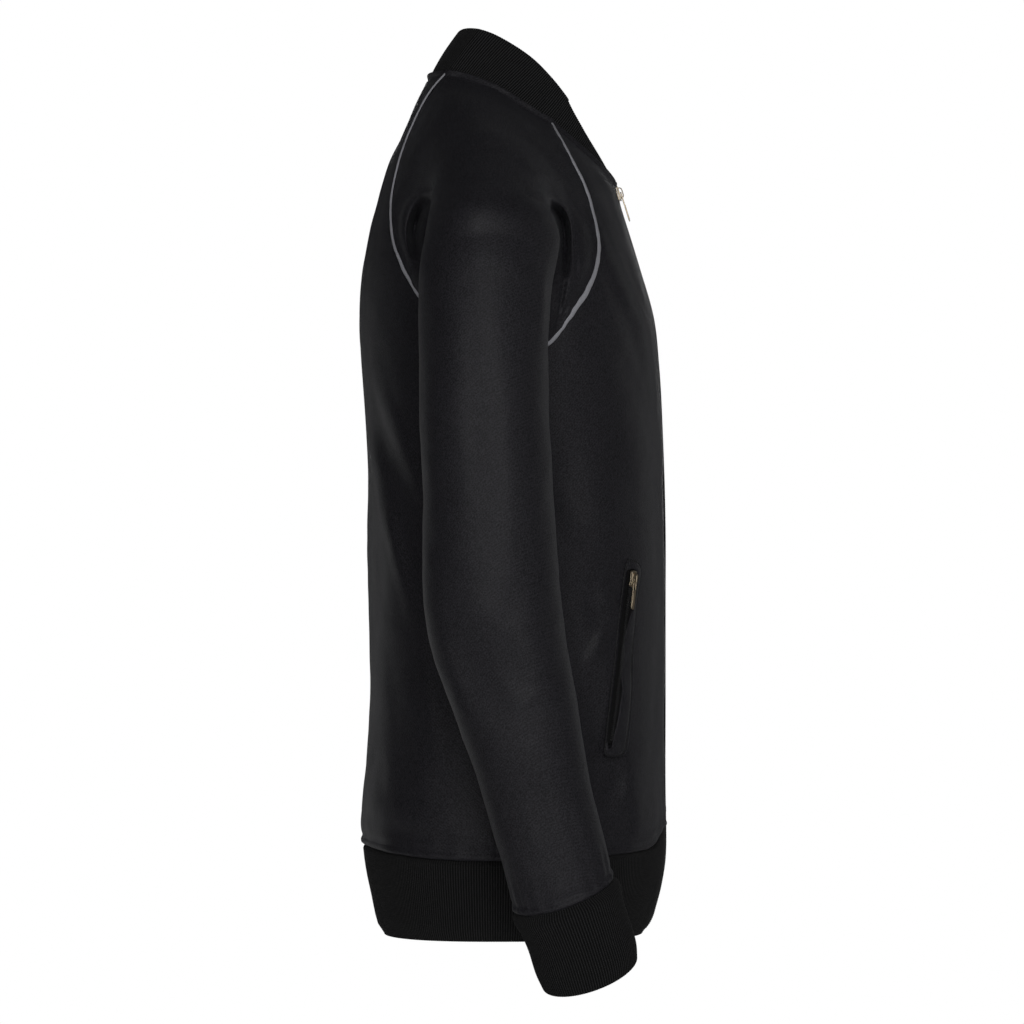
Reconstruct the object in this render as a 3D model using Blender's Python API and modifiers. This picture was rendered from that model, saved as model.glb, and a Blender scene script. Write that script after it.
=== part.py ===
"""Track jacket as worn and hollow: knitted shell with piped raglan seams, ribbed collar, waistband and
cuffs, a closed front zip and two zipped side pockets.

Metres, +Z up, front towards -Y, the wearer's right towards -X. The origin lies between the shoulders at
the height of the neck points, where the wearer's shoulders carry the jacket. Sizes below are millimetres.
"""
import math
from bisect import bisect_right
from collections import namedtuple

import bmesh
import bpy
from mathutils import Matrix, Vector

MM = 0.001
RIGHT, LEFT = -1, 1          # sign of X on the wearer's right and left

# Cloth and seams
SHELL_THICK = 1.2
RIB_THICK = 2.6
SEAM_GAP = 0.3               # between two sewn pieces
PIPING_WIDTH = 2.8
PIPING_PROUD = 0.3           # how far the piping's middle stands out of the shell's face
PIPING_SHORT_BELOW, PIPING_SHORT_ABOVE = 0.4, 0.08   # parts of its end steps that the piping leaves bare
FACET_SLACK = 0.2            # extra room where flat facets meet along a curve
PIPED_GAP = PIPING_WIDTH / 2 + SEAM_GAP + FACET_SLACK
UNDERARM_GAP = 2.0           # between the sleeve's inner side and the body, at the underarm

# Front zip: each front stops this far from the centre line, and the tape fills the rest
FRONT_EDGE = 5.0
TAPE_EDGE = 4.6
TAPE_MIDDLE = 0.2
TAPE_BELOW_NECK = 1.0

# Body form: one row for each height, from the waist seam to the back of the neck
BODY_MIDDLE = -10.0          # Y of the widest line, where the side seams run
BACK_SQUARE = 2.4            # exponent of the back half of each section; 2 is an ellipse
Body = namedtuple("Body", "height back front half_width front_square")
BODY = [
    Body(-615, 96.0, -146.0, 165, 2.4),
    Body(-567, 95.0, -145.0, 167, 2.4),
    Body(-494, 90.5, -145.0, 169, 2.4),
    Body(-420, 90.5, -145.0, 171, 2.4),
    Body(-356, 91.0, -145.0, 174, 2.4),
    Body(-285, 92.5, -143.0, 177, 2.4),
    Body(-228, 96.5, -140.0, 178, 2.4),
    Body(-190, 98.5, -136.0, 177, 2.4),
    Body(-147, 96.0, -124.0, 173, 2.4),
    Body(-121, 90.5, -116.0, 168, 2.25),
    Body(-102, 85.0, -110.0, 163, 2.1),
    Body(-82, 79.5, -104.0, 157, 2.0),
    Body(-64, 74.0, -92.0, 150, 2.0),
    Body(-50, 68.0, -78.5, 143, 2.0),
    Body(-35, 61.5, -61.8, 134, 2.0),
    Body(-18, 54.0, -52.0, 118, 2.0),
    Body(0, 45.0, -42.0, 92, 2.0),
    Body(10, 38.0, -38.0, 76, 2.0),
]
WAIST_SEAM_CENTRE = -607.0
WAIST_SEAM_SIDE = -615.0
UNDERARM = -228.0
NECK_FRONT = -82.0
NECK_BACK = 5.0
NECK_SCOOP = 5.0             # how far the front neckline dips below a straight line

# Raglan seams seen from the side, from the underarm up to the neckline
Seam = namedtuple("Seam", "height depth")
FRONT_SEAM = [
    Seam(-228, -10), Seam(-223, -31), Seam(-210, -53), Seam(-190, -68.5), Seam(-167, -83.5),
    Seam(-138, -91), Seam(-121, -89), Seam(-90.5, -81.5), Seam(-61.5, -67.5), Seam(-35, -54),
]
BACK_SEAM = [
    Seam(-228, -10), Seam(-220, 8), Seam(-200, 29), Seam(-176, 48), Seam(-156, 60), Seam(-129, 70),
    Seam(-107, 72), Seam(-68, 66), Seam(-37, 55), Seam(-7, 38.5), Seam(5, 28),
]

# Shoulder and upper arm above the underarm: for a place along the seams, 0 underarm to 1 neckline, the
# backmost, outermost and frontmost points of the sleeve, and how deep its folds tuck in at the armpit
Cap = namedtuple("Cap", "along back_x back_y back_z out_x out_y out_z front_x front_y front_z tuck")
CAP = [
    Cap(0.0, 232, 49, -213, 284, -2, -207, 232, -51, -211, 0),
    Cap(0.2, 223, 50, -162, 264, -2, -147, 223, -55, -168, 14),
    Cap(0.4, 203, 51, -114, 229, -3, -98, 203, -61, -128, 20),
    Cap(0.6, 167, 47, -68, 182, -5, -58, 171, -58, -84, 6),
    Cap(0.8, 121, 33, -25, 130, -8, -29, 129, -46, -50, 0),
    Cap(1.0, 69, 14, 2, 77, -10, -8, 77, -33, -22, 0),
]

# Sleeve tube below the underarm, a row for each section: back and front edge, inner and outer side.
# `along` is the distance down the arm in hundredths of its length
Arm = namedtuple("Arm", "along back_y back_z front_y front_z inner_x outer_x")
ARM = [
    Arm(0, 49, -213, -51, -211, 180, 284),
    Arm(14, 48, -268, -52, -266, 182, 286),
    Arm(28, 45.5, -327, -55.5, -325, 187, 288),
    Arm(42, 46, -390, -59, -382, 191, 290),
    Arm(50, 45, -418, -60, -404, 193, 290),
    Arm(62, 35, -462, -65, -440, 195, 289),
    Arm(76, 16, -515, -74, -490, 198, 285),
    Arm(90, -5, -577, -84.5, -554, 203, 277),
    Arm(100, -25, -650, -101, -623, 207, 270),
]
FOLLOW_FROM, FOLLOW_FULL = 0.2, 0.6   # where along the seam the sleeve leaves in line with the body
TUBE_TO, OVER_FROM = 0.45, 0.8        # below the first the arm is a tube, above the second a shoulder
MOST_TURN = math.radians(110)         # sharpest bend between two knots of a section
OUTER_LIFT = 7.0                      # how far the arm's top ring rises on its outer side
TUCK_BACK, TUCK_FRONT, TUCK_WIDTH = 0.15, 0.85, 0.055

# Soft folds that change the outline: on the body by turn in degrees, 0 centre front and 180 centre back
Fold = namedtuple("Fold", "turn_a height_a turn_b height_b half_width rise")
TURN_SPAN = 2.8                       # millimetres around the body for one degree
BODY_FOLDS = [
    Fold(40, -130, 18, -250, 14, 1.6),
    Fold(62, -215, 30, -310, 18, 2.0),
    Fold(76, -290, 58, -420, 26, -4.0),
    Fold(66, -440, 72, -520, 20, 2.5),
    Fold(150, -300, 118, -430, 16, 2.5),
    Fold(166, -240, 140, -390, 18, 2.0),
    Fold(120, -560, 175, -585, 16, 2.0),
    Fold(20, -570, 80, -588, 14, 2.0),
]

# Collar: rise from the neckline by place along it, 0 centre front to 100 centre back
Rise = namedtuple("Rise", "along inward forward up")
COLLAR_RISE = [
    Rise(0, 0.5, 0.8, 2.2),
    Rise(12, 2.0, 2.0, 4.0),
    Rise(26, 5.0, 6.5, 10.0),
    Rise(42, 9.0, 17.0, 21.5),
    Rise(58, 12.0, 27.2, 26.2),
    Rise(78, 11.0, 25.0, 36.5),
    Rise(100, 0.0, 22.0, 35.5),
]
COLLAR_BOW = 1.2                      # outward belly of the rib half way up
COLLAR_LEVELS = (0, 0.5, 1)

# Waistband: how far it lies inside the body form on its way down
Band = namedtuple("Band", "drop inset")
BAND = [Band(0, 0), Band(14, 1.8), Band(59, 11), Band(67, 13.4), Band(72, 18)]

# Cuffs: how much further out than the sleeve's end they reach on their way down, and how far their outer side
# hangs lower, as a share of the distance from the middle
Cuff = namedtuple("Cuff", "down wider tilt")
CUFF = [Cuff(0, 0.0, 0.31), Cuff(5, 2.8, 0.32), Cuff(14, 2.0, 0.33), Cuff(34, 0.0, 0.37), Cuff(64, -1.5, 0.43)]
TILT_FROM = 72                        # share of the arm from which its sections begin to tilt
CUFF_SWING = 0.01                     # further forward lean of the wrist, as a share of its length

# Pockets on the fronts: top and bottom of the zip's line as turn and height
POCKET_TOP_TURN, POCKET_TOP = 41.5, -387.0
POCKET_FOOT_TURN, POCKET_FOOT = 52.0, -524.0
POCKET_TAPE_WIDTH = 12.0
POCKET_TAPE_THICK = 1.0
WELT_WIDTH = 15.0
WELT_THICK = 1.8
WELT_CROWN = 1.0                      # how much fuller the welt is along its middle
WELT_PAST_END = 5.0                   # the welt runs past the tape at both ends

# Zip sliders and pulls
SLIDER_WIDTH, SLIDER_LENGTH, SLIDER_THICK, SLIDER_CORNER = 6.6, 13.0, 2.6, 1.4
SLIDER_BELOW_END = 2.0                # from a pocket tape's top end to its slider
BRIDGE_WIDTH, BRIDGE_THICK, BRIDGE_LENGTH = 2.0, 0.9, 9.0
TUNNEL_HEIGHT = 2.0
BRIDGE_SUNK = 1.0                     # how deep the bridge's feet reach into the slider
PULL_WIDTH, PULL_LENGTH, PULL_THICK, PULL_CORNER = 5.0, 24.5, 1.0, 0.65
PULL_BAR, PULL_SIDE, PULL_WINDOW = 1.0, 1.1, 8.5
FRONT_SLIDER_AT = -89.0

# Mesh steps
BODY_ROWS, YOKE_ROWS, HALF_COLUMNS = 11, 9, 8
SLEEVE_COLUMNS, ARM_ROWS, TAPE_ROWS, POCKET_ROWS = 20, 11, 16, 10


# ---------------------------------------------------------------- reading the tables

def smooth(rows, key, columns, at):
    """Columns of a table at a place along its key, on smooth curves through the rows."""
    keys = [getattr(row, key) for row in rows]
    at = min(max(at, keys[0]), keys[-1])
    low = min(max(bisect_right(keys, at) - 1, 0), len(keys) - 2)
    step = keys[low + 1] - keys[low]
    t = (at - keys[low]) / step

    def read(column):
        values = [getattr(row, column) for row in rows]

        def secant(i):
            return (values[i + 1] - values[i]) / (keys[i + 1] - keys[i])

        def slope(i):
            if i == 0:
                return secant(0)
            if i == len(keys) - 1:
                return secant(i - 1)
            before, after = keys[i] - keys[i - 1], keys[i + 1] - keys[i]
            return (secant(i - 1) * after + secant(i) * before) / (before + after)

        return hermite(values[low], slope(low) * step, values[low + 1], slope(low + 1) * step, t)

    return [read(column) for column in columns]


def hermite(start, start_pull, end, end_pull, t):
    """Cubic from start to end, for numbers or vectors."""
    return (start * (2 * t ** 3 - 3 * t ** 2 + 1) + start_pull * (t ** 3 - 2 * t ** 2 + t)
            + end * (3 * t ** 2 - 2 * t ** 3) + end_pull * (t ** 3 - t ** 2))


def mix(a, b, t):
    return a + (b - a) * t


def ramp(low, high, value):
    """0 below low, 1 above high, smooth between."""
    t = min(max((value - low) / (high - low), 0.0), 1.0)
    return t * t * (3 - 2 * t)


def bump(distance):
    """1 at no distance, 0 beyond 1, smooth between."""
    return (1 - distance ** 2) ** 2 if abs(distance) < 1 else 0.0


# ---------------------------------------------------------------- the body form

def bare_body(turn, height, side):
    """Point of the body form: turn in degrees from centre front by the side to centre back."""
    back, front, half_width, square = smooth(
        BODY, "height", ("back", "front", "half_width", "front_square"), height)
    reach = front - BODY_MIDDLE
    if turn > 90:
        square, reach = BACK_SQUARE, back - BODY_MIDDLE
    angle = math.radians(turn)
    x = half_width * abs(math.sin(angle)) ** (2 / square)
    y = BODY_MIDDLE + reach * abs(math.cos(angle)) ** (2 / square)
    return Vector((side * x, y, height))


def body_fold(turn, height):
    """Outward shift of the shell by its soft folds."""
    rise = 0.0
    for fold in BODY_FOLDS:
        run = Vector(((fold.turn_b - fold.turn_a) * TURN_SPAN, fold.height_b - fold.height_a))
        here = Vector(((turn - fold.turn_a) * TURN_SPAN, height - fold.height_a))
        along = min(max(here.dot(run) / run.length_squared, 0.0), 1.0)
        aside = (here - run * along).length
        rise += fold.rise * bump(aside / (2 * fold.half_width)) * math.sin(math.pi * (0.15 + 0.7 * along))
    return rise


def body_frame(turn, height, side):
    """Point of the folded shell with its outward normal and its direction towards the side seam."""
    step = 0.5
    ahead = bare_body(min(turn + step, 180), height, side) - bare_body(max(turn - step, 0), height, side)
    rising = bare_body(turn, height + 1, side) - bare_body(turn, height - 1, side)
    normal = side * ahead.cross(rising).normalized()
    place = bare_body(turn, height, side)
    if normal.dot(place - Vector((0, BODY_MIDDLE, height))) < 0:
        normal = -normal
    toward_side = ahead.normalized() * (1 if turn <= 90 else -1)
    return place + normal * body_fold(turn, height), normal, toward_side


def body_point(turn, height, side):
    return body_frame(turn, height, side)[0]


def seam_place(rows, along):
    """Turn and height of a raglan seam at a share of its length, 0 underarm to 1 neckline."""
    lengths = [0.0]
    for low, high in zip(rows, rows[1:]):
        lengths.append(lengths[-1] + math.hypot(high.height - low.height, high.depth - low.depth))
    Step = namedtuple("Step", "along height depth")
    steps = [Step(length / lengths[-1], row.height, row.depth) for length, row in zip(lengths, rows)]
    height, depth = smooth(steps, "along", ("height", "depth"), along)
    back, front, square = smooth(BODY, "height", ("back", "front", "front_square"), height)
    is_back = rows is BACK_SEAM
    reach = (back if is_back else front) - BODY_MIDDLE
    power = BACK_SQUARE if is_back else square
    share = min(max((depth - BODY_MIDDLE) / reach, 0.0), 1.0)
    turn = math.degrees(math.acos(share ** (power / 2)))
    return (180 - turn if is_back else turn), height


def seam_frame(rows, along, side):
    """Point of a raglan seam, the shell's normal there, and the way across it to the sleeve."""
    place, normal, toward_side = body_frame(*seam_place(rows, along), side)
    ahead = body_point(*seam_place(rows, min(along + 0.01, 1)), side)
    behind = body_point(*seam_place(rows, max(along - 0.01, 0)), side)
    across = normal.cross(ahead - behind).normalized()
    if across.dot(toward_side + Vector((0, 0, 1))) < 0:
        across = -across
    return place, normal, across


def waist_seam(turn):
    return mix(WAIST_SEAM_CENTRE, WAIST_SEAM_SIDE, math.sin(math.radians(turn)) ** 2)


def edge_turn(height, distance):
    """Turn at which the front form lies a distance from the centre line."""
    half_width, square = smooth(BODY, "height", ("half_width", "front_square"), height)
    return math.degrees(math.asin((distance / half_width) ** (square / 2)))


# ---------------------------------------------------------------- meshes

def material(name, colour, roughness, metallic=0.0):
    made = bpy.data.materials.new(name)
    made.use_nodes = True
    shader = made.node_tree.nodes["Principled BSDF"]
    shader.inputs["Base Color"].default_value = (*colour, 1)
    shader.inputs["Roughness"].default_value = roughness
    shader.inputs["Metallic"].default_value = metallic
    return made


def add_object(name, data, slot):
    made = bpy.data.objects.new(name, data)
    made.data.materials.append(slot)
    JACKET.objects.link(made)
    return made


def sheet(name, rows, slot, thick, closed_from=None):
    """Wall of cloth on a grid of points: rows of equal length, those from closed_from on being rings."""
    shape = bmesh.new()
    grid = []
    for number, row in enumerate(rows):
        ring = closed_from is not None and number >= closed_from
        points = [shape.verts.new(point * MM) for point in (row[:-1] if ring else row)]
        grid.append(points + [points[0]] if ring else points)
    for low, high in zip(grid, grid[1:]):
        for column in range(len(low) - 1):
            corners = [low[column], low[column + 1], high[column + 1], high[column]]
            shape.faces.new(list(dict.fromkeys(corners)))
    mesh = bpy.data.meshes.new(name)
    shape.to_mesh(mesh)
    shape.free()
    made = add_object(name, mesh, slot)
    wall = made.modifiers.new("wall", "SOLIDIFY")
    wall.thickness = thick * MM
    wall.offset = -1.0
    return made


def outward(rows, side):
    """Rows ordered so that the faces of a sheet look outward on either side of the body."""
    return rows if side == RIGHT else [row[::-1] for row in rows]


def pulled(point, towards, distance):
    return point + (towards - point).normalized() * distance


# ---------------------------------------------------------------- shell panels

def half_panel(seam, centre_turn, neck_height, scoop, side):
    """Half of the front or back: rows from the waist to the neckline, columns from centre to side."""
    rows = []
    side_turn = 90.0
    for number in range(BODY_ROWS):
        lift = number / BODY_ROWS
        row = []
        for column in range(HALF_COLUMNS + 1):
            share = column / HALF_COLUMNS
            middle = centre_turn(mix(waist_seam(0), UNDERARM, lift))
            turn = mix(middle, side_turn, share)
            height = mix(waist_seam(turn), UNDERARM, lift)
            row.append(body_point(turn, height, side))
        row[-1] = pulled(row[-1], row[-2], (SEAM_GAP + FACET_SLACK) / 2)
        rows.append(row)
    for number in range(YOKE_ROWS + 1):
        lift = number / YOKE_ROWS
        seam_turn, seam_height = seam_place(seam, lift)
        centre_height = mix(UNDERARM, neck_height, lift)
        row = []
        for column in range(HALF_COLUMNS + 1):
            share = column / HALF_COLUMNS
            turn = mix(centre_turn(centre_height), seam_turn, share)
            dip = scoop * lift ** 3 * math.sin(math.pi * share)
            row.append(body_point(turn, mix(centre_height, seam_height, share) - dip, side))
        place, _, across = seam_frame(seam, lift, side)
        row[-1] = place - across * PIPED_GAP
        rows.append(row)
    rows[BODY_ROWS][-1].y += math.copysign((SEAM_GAP + FACET_SLACK) / 2, rows[0][0].y)
    return rows


def front_edge_turn(height):
    return edge_turn(height, FRONT_EDGE)


def front_rows(side):
    return half_panel(FRONT_SEAM, front_edge_turn, NECK_FRONT, NECK_SCOOP, side)


def back_rows(side):
    return half_panel(BACK_SEAM, lambda height: 180.0, NECK_BACK, 0, side)


def build_body():
    for side, name in ((RIGHT, "front_right"), (LEFT, "front_left")):
        sheet(name, outward([row[::-1] for row in front_rows(side)], side), SHELL, SHELL_THICK)
    right, left = back_rows(RIGHT), back_rows(LEFT)
    whole = [left_row[::-1] + right_row[1:] for left_row, right_row in zip(left, right)]
    sheet("back", whole, SHELL, SHELL_THICK)


# ---------------------------------------------------------------- sleeves

def mirrored(x, y, z, side):
    return Vector((side * x, y, z))


def bend(start, start_way, end, end_way, t):
    """Curve between two points that leaves and arrives along given directions, round like an ellipse."""
    turn = min(max(start_way.angle(end_way), 0.01), MOST_TURN)
    swell = 4 * math.tan(turn / 4) / math.sin(turn)
    gap = end - start
    return hermite(start, start_way * abs(gap.dot(start_way)) * swell,
                   end, end_way * abs(gap.dot(end_way)) * swell, t)


def sleeve_row(knots, ways, tuck, shares):
    """One sleeve section through its knots: back seam, backmost, outermost, frontmost, front seam."""
    row = []
    for share in shares:
        piece = min(int(share * 4), 3)
        point = bend(knots[piece], ways[piece], knots[piece + 1], ways[piece + 1], share * 4 - piece)
        point.y -= tuck * bump((share - TUCK_BACK) / (2 * TUCK_WIDTH))
        point.y += tuck * bump((share - TUCK_FRONT) / (2 * TUCK_WIDTH))
        row.append(point)
    return row


def cap_row(along, side, shares):
    """Sleeve section above the underarm, from the back raglan seam over the arm to the front one."""
    back_x, back_y, back_z, out_x, out_y, out_z, front_x, front_y, front_z, tuck = smooth(
        CAP, "along", Cap._fields[1:], along)
    back, out = mirrored(back_x, back_y, back_z, side), mirrored(out_x, out_y, out_z, side)
    front = mirrored(front_x, front_y, front_z, side)
    follow, close = ramp(FOLLOW_FROM, FOLLOW_FULL, along), 1 - ramp(0, FOLLOW_FROM, along)
    ends, end_ways = [], []
    for rows, target, sign in ((BACK_SEAM, back, 1), (FRONT_SEAM, front, -1)):
        end, normal, across = seam_frame(rows, along, side)
        _, _, toward_side = body_frame(*seam_place(rows, along), side)
        way = mix((target - end).normalized(), toward_side, follow)
        end_ways.append(mix(way, Vector((0, sign, 0)), close).normalized())
        ends.append(end + mix(across, normal, close).normalized() * mix(PIPED_GAP, UNDERARM_GAP, close))
    sideways = Vector((side, 0, 0))
    over = ramp(TUBE_TO, OVER_FROM, along)
    back_way = mix(sideways, (out - ends[0]).normalized(), over).normalized()
    front_way = mix(-sideways, (ends[1] - out).normalized(), over).normalized()
    knots = (ends[0], back, out, front, ends[1])
    ways = (end_ways[0], back_way, (front - back).normalized(), front_way, -end_ways[1])
    return sleeve_row(knots, ways, tuck, shares)


def arm_row(along, side, shares):
    """Closed sleeve section below the underarm."""
    back_y, back_z, front_y, front_z, inner_x, outer_x = smooth(ARM, "along", Arm._fields[1:], along)
    middle_x, middle_y, middle_z = (inner_x + outer_x) / 2, (back_y + front_y) / 2, (back_z + front_z) / 2
    back, front = mirrored(middle_x, back_y, back_z, side), mirrored(middle_x, front_y, front_z, side)
    level = 1 - ramp(0, 20, along)
    out = mirrored(outer_x, middle_y, middle_z + OUTER_LIFT * level, side)
    inner = mirrored(inner_x, mix(middle_y, BODY_MIDDLE, level), mix(middle_z, UNDERARM, level), side)
    forward = (front - back).normalized()
    tilt = Vector((1, 0, 0)).cross(forward) * (CUFF[0].tilt * ramp(TILT_FROM, 100, along))
    out += tilt * ((outer_x - inner_x) / 2)
    inner -= tilt * ((outer_x - inner_x) / 2)
    sideways = (Vector((side, 0, 0)) + tilt).normalized()
    inner_way = mix(-forward, Vector((0, 1, 0)), level).normalized()
    knots = (inner, back, out, front, inner)
    return sleeve_row(knots, (inner_way, sideways, forward, -sideways, inner_way), 0, shares)


def build_sleeve(side, name):
    shares = [column / SLEEVE_COLUMNS for column in range(SLEEVE_COLUMNS + 1)]
    rows = [cap_row(1 - number / YOKE_ROWS, side, shares) for number in range(YOKE_ROWS)]
    rows += [arm_row(100 * number / ARM_ROWS, side, shares) for number in range(ARM_ROWS + 1)]
    sheet(name, outward([row[::-1] for row in rows], side), SHELL, SHELL_THICK, closed_from=YOKE_ROWS)


# ---------------------------------------------------------------- rib pieces

def neckline(side):
    """Neckline from centre front to centre back on one side, in even steps of the panels' columns."""
    front = front_rows(side)[-1]
    shares = [column / SLEEVE_COLUMNS for column in range(0, SLEEVE_COLUMNS + 1, 2)]
    over = cap_row(1.0, side, shares)[::-1]
    back = back_rows(side)[-1][::-1]
    return front + over + back


def build_collar():
    halves = []
    for side in (RIGHT, LEFT):
        line = neckline(side)
        lengths = [0.0]
        for here, there in zip(line, line[1:]):
            lengths.append(lengths[-1] + (there - here).length)
        columns = []
        for point, length in zip(line, lengths):
            inward, forward, up = smooth(COLLAR_RISE, "along", Rise._fields[1:], 100 * length / lengths[-1])
            rise = Vector((-side * inward, -forward, up))
            belly = Vector((point.x, point.y - BODY_MIDDLE, 0)).normalized() * COLLAR_BOW
            base = point + rise.normalized() * (SEAM_GAP + FACET_SLACK)
            columns.append([base + rise * share + belly * (rise.length / 40) * math.sin(math.pi * share)
                            for share in COLLAR_LEVELS])
        halves.append(columns)
    around = halves[0] + halves[1][-2::-1]
    rows = [[column[level] for column in around] for level in range(len(COLLAR_LEVELS))]
    sheet("collar", [row[::-1] for row in rows], RIB, RIB_THICK)


def band_point(turn, drop, side):
    """Point of the waistband's outer face."""
    inset, = smooth(BAND, "drop", ("inset",), drop)
    seam = waist_seam(turn)
    foot = mix(seam, WAIST_SEAM_CENTRE, drop / BAND[-1].drop)
    rim = bare_body(turn, seam, side)
    middle = Vector((0, BODY_MIDDLE, rim.z))
    point = pulled(rim, middle, inset)
    point.z = foot - drop - SEAM_GAP
    return point


def build_waistband():
    steps = 2 * HALF_COLUMNS
    rows = []
    for band in BAND:
        start = edge_turn(waist_seam(0), FRONT_EDGE)
        turns = [mix(start, 180, step / steps) for step in range(steps + 1)]
        right = [band_point(turn, band.drop, RIGHT) for turn in turns]
        left = [band_point(turn, band.drop, LEFT) for turn in turns]
        right[0].x, left[0].x = RIGHT * FRONT_EDGE, LEFT * FRONT_EDGE
        rows.append(right + left[-2::-1])
    sheet("hem_rib", rows, RIB, RIB_THICK)


def build_cuff(side, name):
    """Rib tube that carries on from the sleeve's last section."""
    end = ARM[-1]
    back = mirrored((end.inner_x + end.outer_x) / 2, end.back_y, end.back_z, side)
    front = Vector((back.x, end.front_y, end.front_z))
    forward = (front - back).normalized()
    axis = Vector((1, 0, 0)).cross(forward)
    centre = (back + front) / 2 + axis * (SEAM_GAP + FACET_SLACK)
    rows = []
    for section in CUFF:
        half_depth = (front - back).length / 2 + section.wider
        half_width = (end.outer_x - end.inner_x) / 2 + section.wider
        row = []
        for column in range(SLEEVE_COLUMNS + 1):
            angle = 2 * math.pi * column / SLEEVE_COLUMNS
            aside = -half_width * math.cos(angle)
            across = Vector((side * aside, 0, 0)) + axis * (section.tilt * aside)
            along = (axis + forward * CUFF_SWING) * section.down
            row.append(centre + along + across - forward * half_depth * math.sin(angle))
        rows.append(row)
    sheet(name, outward([row[::-1] for row in rows], side), RIB, RIB_THICK, closed_from=0)


# ---------------------------------------------------------------- piping

def build_piping(rows, side, name):
    curve = bpy.data.curves.new(name, "CURVE")
    curve.dimensions = "3D"
    curve.bevel_depth = PIPING_WIDTH / 2 * MM
    curve.bevel_resolution = 2
    curve.use_fill_caps = True
    spline = curve.splines.new("POLY")
    spline.points.add(YOKE_ROWS)
    line = []
    for number in range(YOKE_ROWS + 1):
        place, normal, _ = seam_frame(rows, number / YOKE_ROWS, side)
        line.append((place + normal * PIPING_PROUD) * MM)
    line[0] = mix(line[0], line[1], PIPING_SHORT_BELOW)
    line[-1] = mix(line[-1], line[-2], PIPING_SHORT_ABOVE)
    for knot, point in zip(spline.points, line):
        knot.co = (*point, 1)
    add_object(name, curve, PIPING)


# ---------------------------------------------------------------- zips

def build_front_tape(side, name):
    """Tape from the neckline to the foot of the waistband, filling the gap between the fronts."""
    rows = []
    for distance in (TAPE_EDGE, TAPE_MIDDLE):
        line = []
        for step in range(TAPE_ROWS + 1):
            height = mix(NECK_FRONT - TAPE_BELOW_NECK, WAIST_SEAM_CENTRE, step / TAPE_ROWS)
            point = bare_body(edge_turn(height, distance), height, side)
            line.append(point)
        for band in BAND[1:]:
            point = band_point(edge_turn(WAIST_SEAM_CENTRE, distance), band.drop, side)
            point.x = side * distance
            line.append(point)
        rows.append(line)
    sheet(name, outward(rows, side), ZIP_TAPE, SHELL_THICK)


def pocket_line(share, aside, lift, side):
    """Point on the pocket: share down the zip's line, aside towards the back, lifted off the shell."""
    turn = mix(POCKET_TOP_TURN, POCKET_FOOT_TURN, share)
    height = mix(POCKET_TOP, POCKET_FOOT, share)
    place, normal, _ = body_frame(turn + aside / TURN_SPAN, height, side)
    return place + normal * lift


def build_pocket(side, tag):
    lift = SEAM_GAP + FACET_SLACK + POCKET_TAPE_THICK
    steps = range(POCKET_ROWS + 1)
    half = POCKET_TAPE_WIDTH / 2
    rows = [[pocket_line(step / POCKET_ROWS, aside, lift, side) for step in steps]
            for aside in (half, 0, -half)]
    sheet("pocket_zip_" + tag, outward(rows, side), ZIP_TAPE, POCKET_TAPE_THICK)

    past = WELT_PAST_END / (POCKET_TOP - POCKET_FOOT)
    lift = SEAM_GAP + WELT_THICK
    near = -half - SEAM_GAP
    shares = [mix(-past, 1 + past, step / POCKET_ROWS) for step in steps]
    rows = [[pocket_line(share, aside, lift + crown, side) for share in shares]
            for aside, crown in ((near, 0), (near - WELT_WIDTH / 2, WELT_CROWN), (near - WELT_WIDTH, 0))]
    sheet("pocket_welt_" + tag, outward(rows, side), SHELL, WELT_THICK)


def outline_plate(name, outlines, thick):
    """Flat plate from closed outlines of (x, y) points, the later ones being holes."""
    curve = bpy.data.curves.new(name, "CURVE")
    curve.dimensions = "2D"
    curve.fill_mode = "BOTH"
    curve.extrude = thick / 2 * MM
    for outline in outlines:
        spline = curve.splines.new("POLY")
        spline.points.add(len(outline) - 1)
        spline.use_cyclic_u = True
        for knot, (x, y) in zip(spline.points, outline):
            knot.co = (x * MM, y * MM, 0, 1)
    return curve


def rounded(width, low, high, corner):
    """Corners of a plate from low to high, with cut corners."""
    half = width / 2
    return [(-half, low + corner), (-half + corner, low), (half - corner, low), (half, low + corner),
            (half, high - corner), (half - corner, high), (-half + corner, high), (-half, high - corner)]


def solid_from(curve, name):
    """Closed mesh of a filled curve, its caps welded."""
    holder = bpy.data.objects.new(name + "_outline", curve)
    CUTTERS.objects.link(holder)
    bpy.context.view_layer.update()
    mesh = bpy.data.meshes.new_from_object(holder.evaluated_get(bpy.context.evaluated_depsgraph_get()))
    bpy.data.objects.remove(holder)
    shape = bmesh.new()
    shape.from_mesh(mesh)
    bmesh.ops.remove_doubles(shape, verts=shape.verts, dist=0.00001)
    bmesh.ops.recalc_face_normals(shape, faces=shape.faces)
    shape.to_mesh(mesh)
    shape.free()
    mesh.materials.clear()
    return mesh


def hardware_frame(place, normal, downward):
    """Axes at a slider: across the zip, up along it, and out of the cloth."""
    up = -(downward - normal * downward.dot(normal)).normalized()
    across = up.cross(normal).normalized()
    return Matrix((across, up, normal)).transposed().to_4x4(), place * MM


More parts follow.
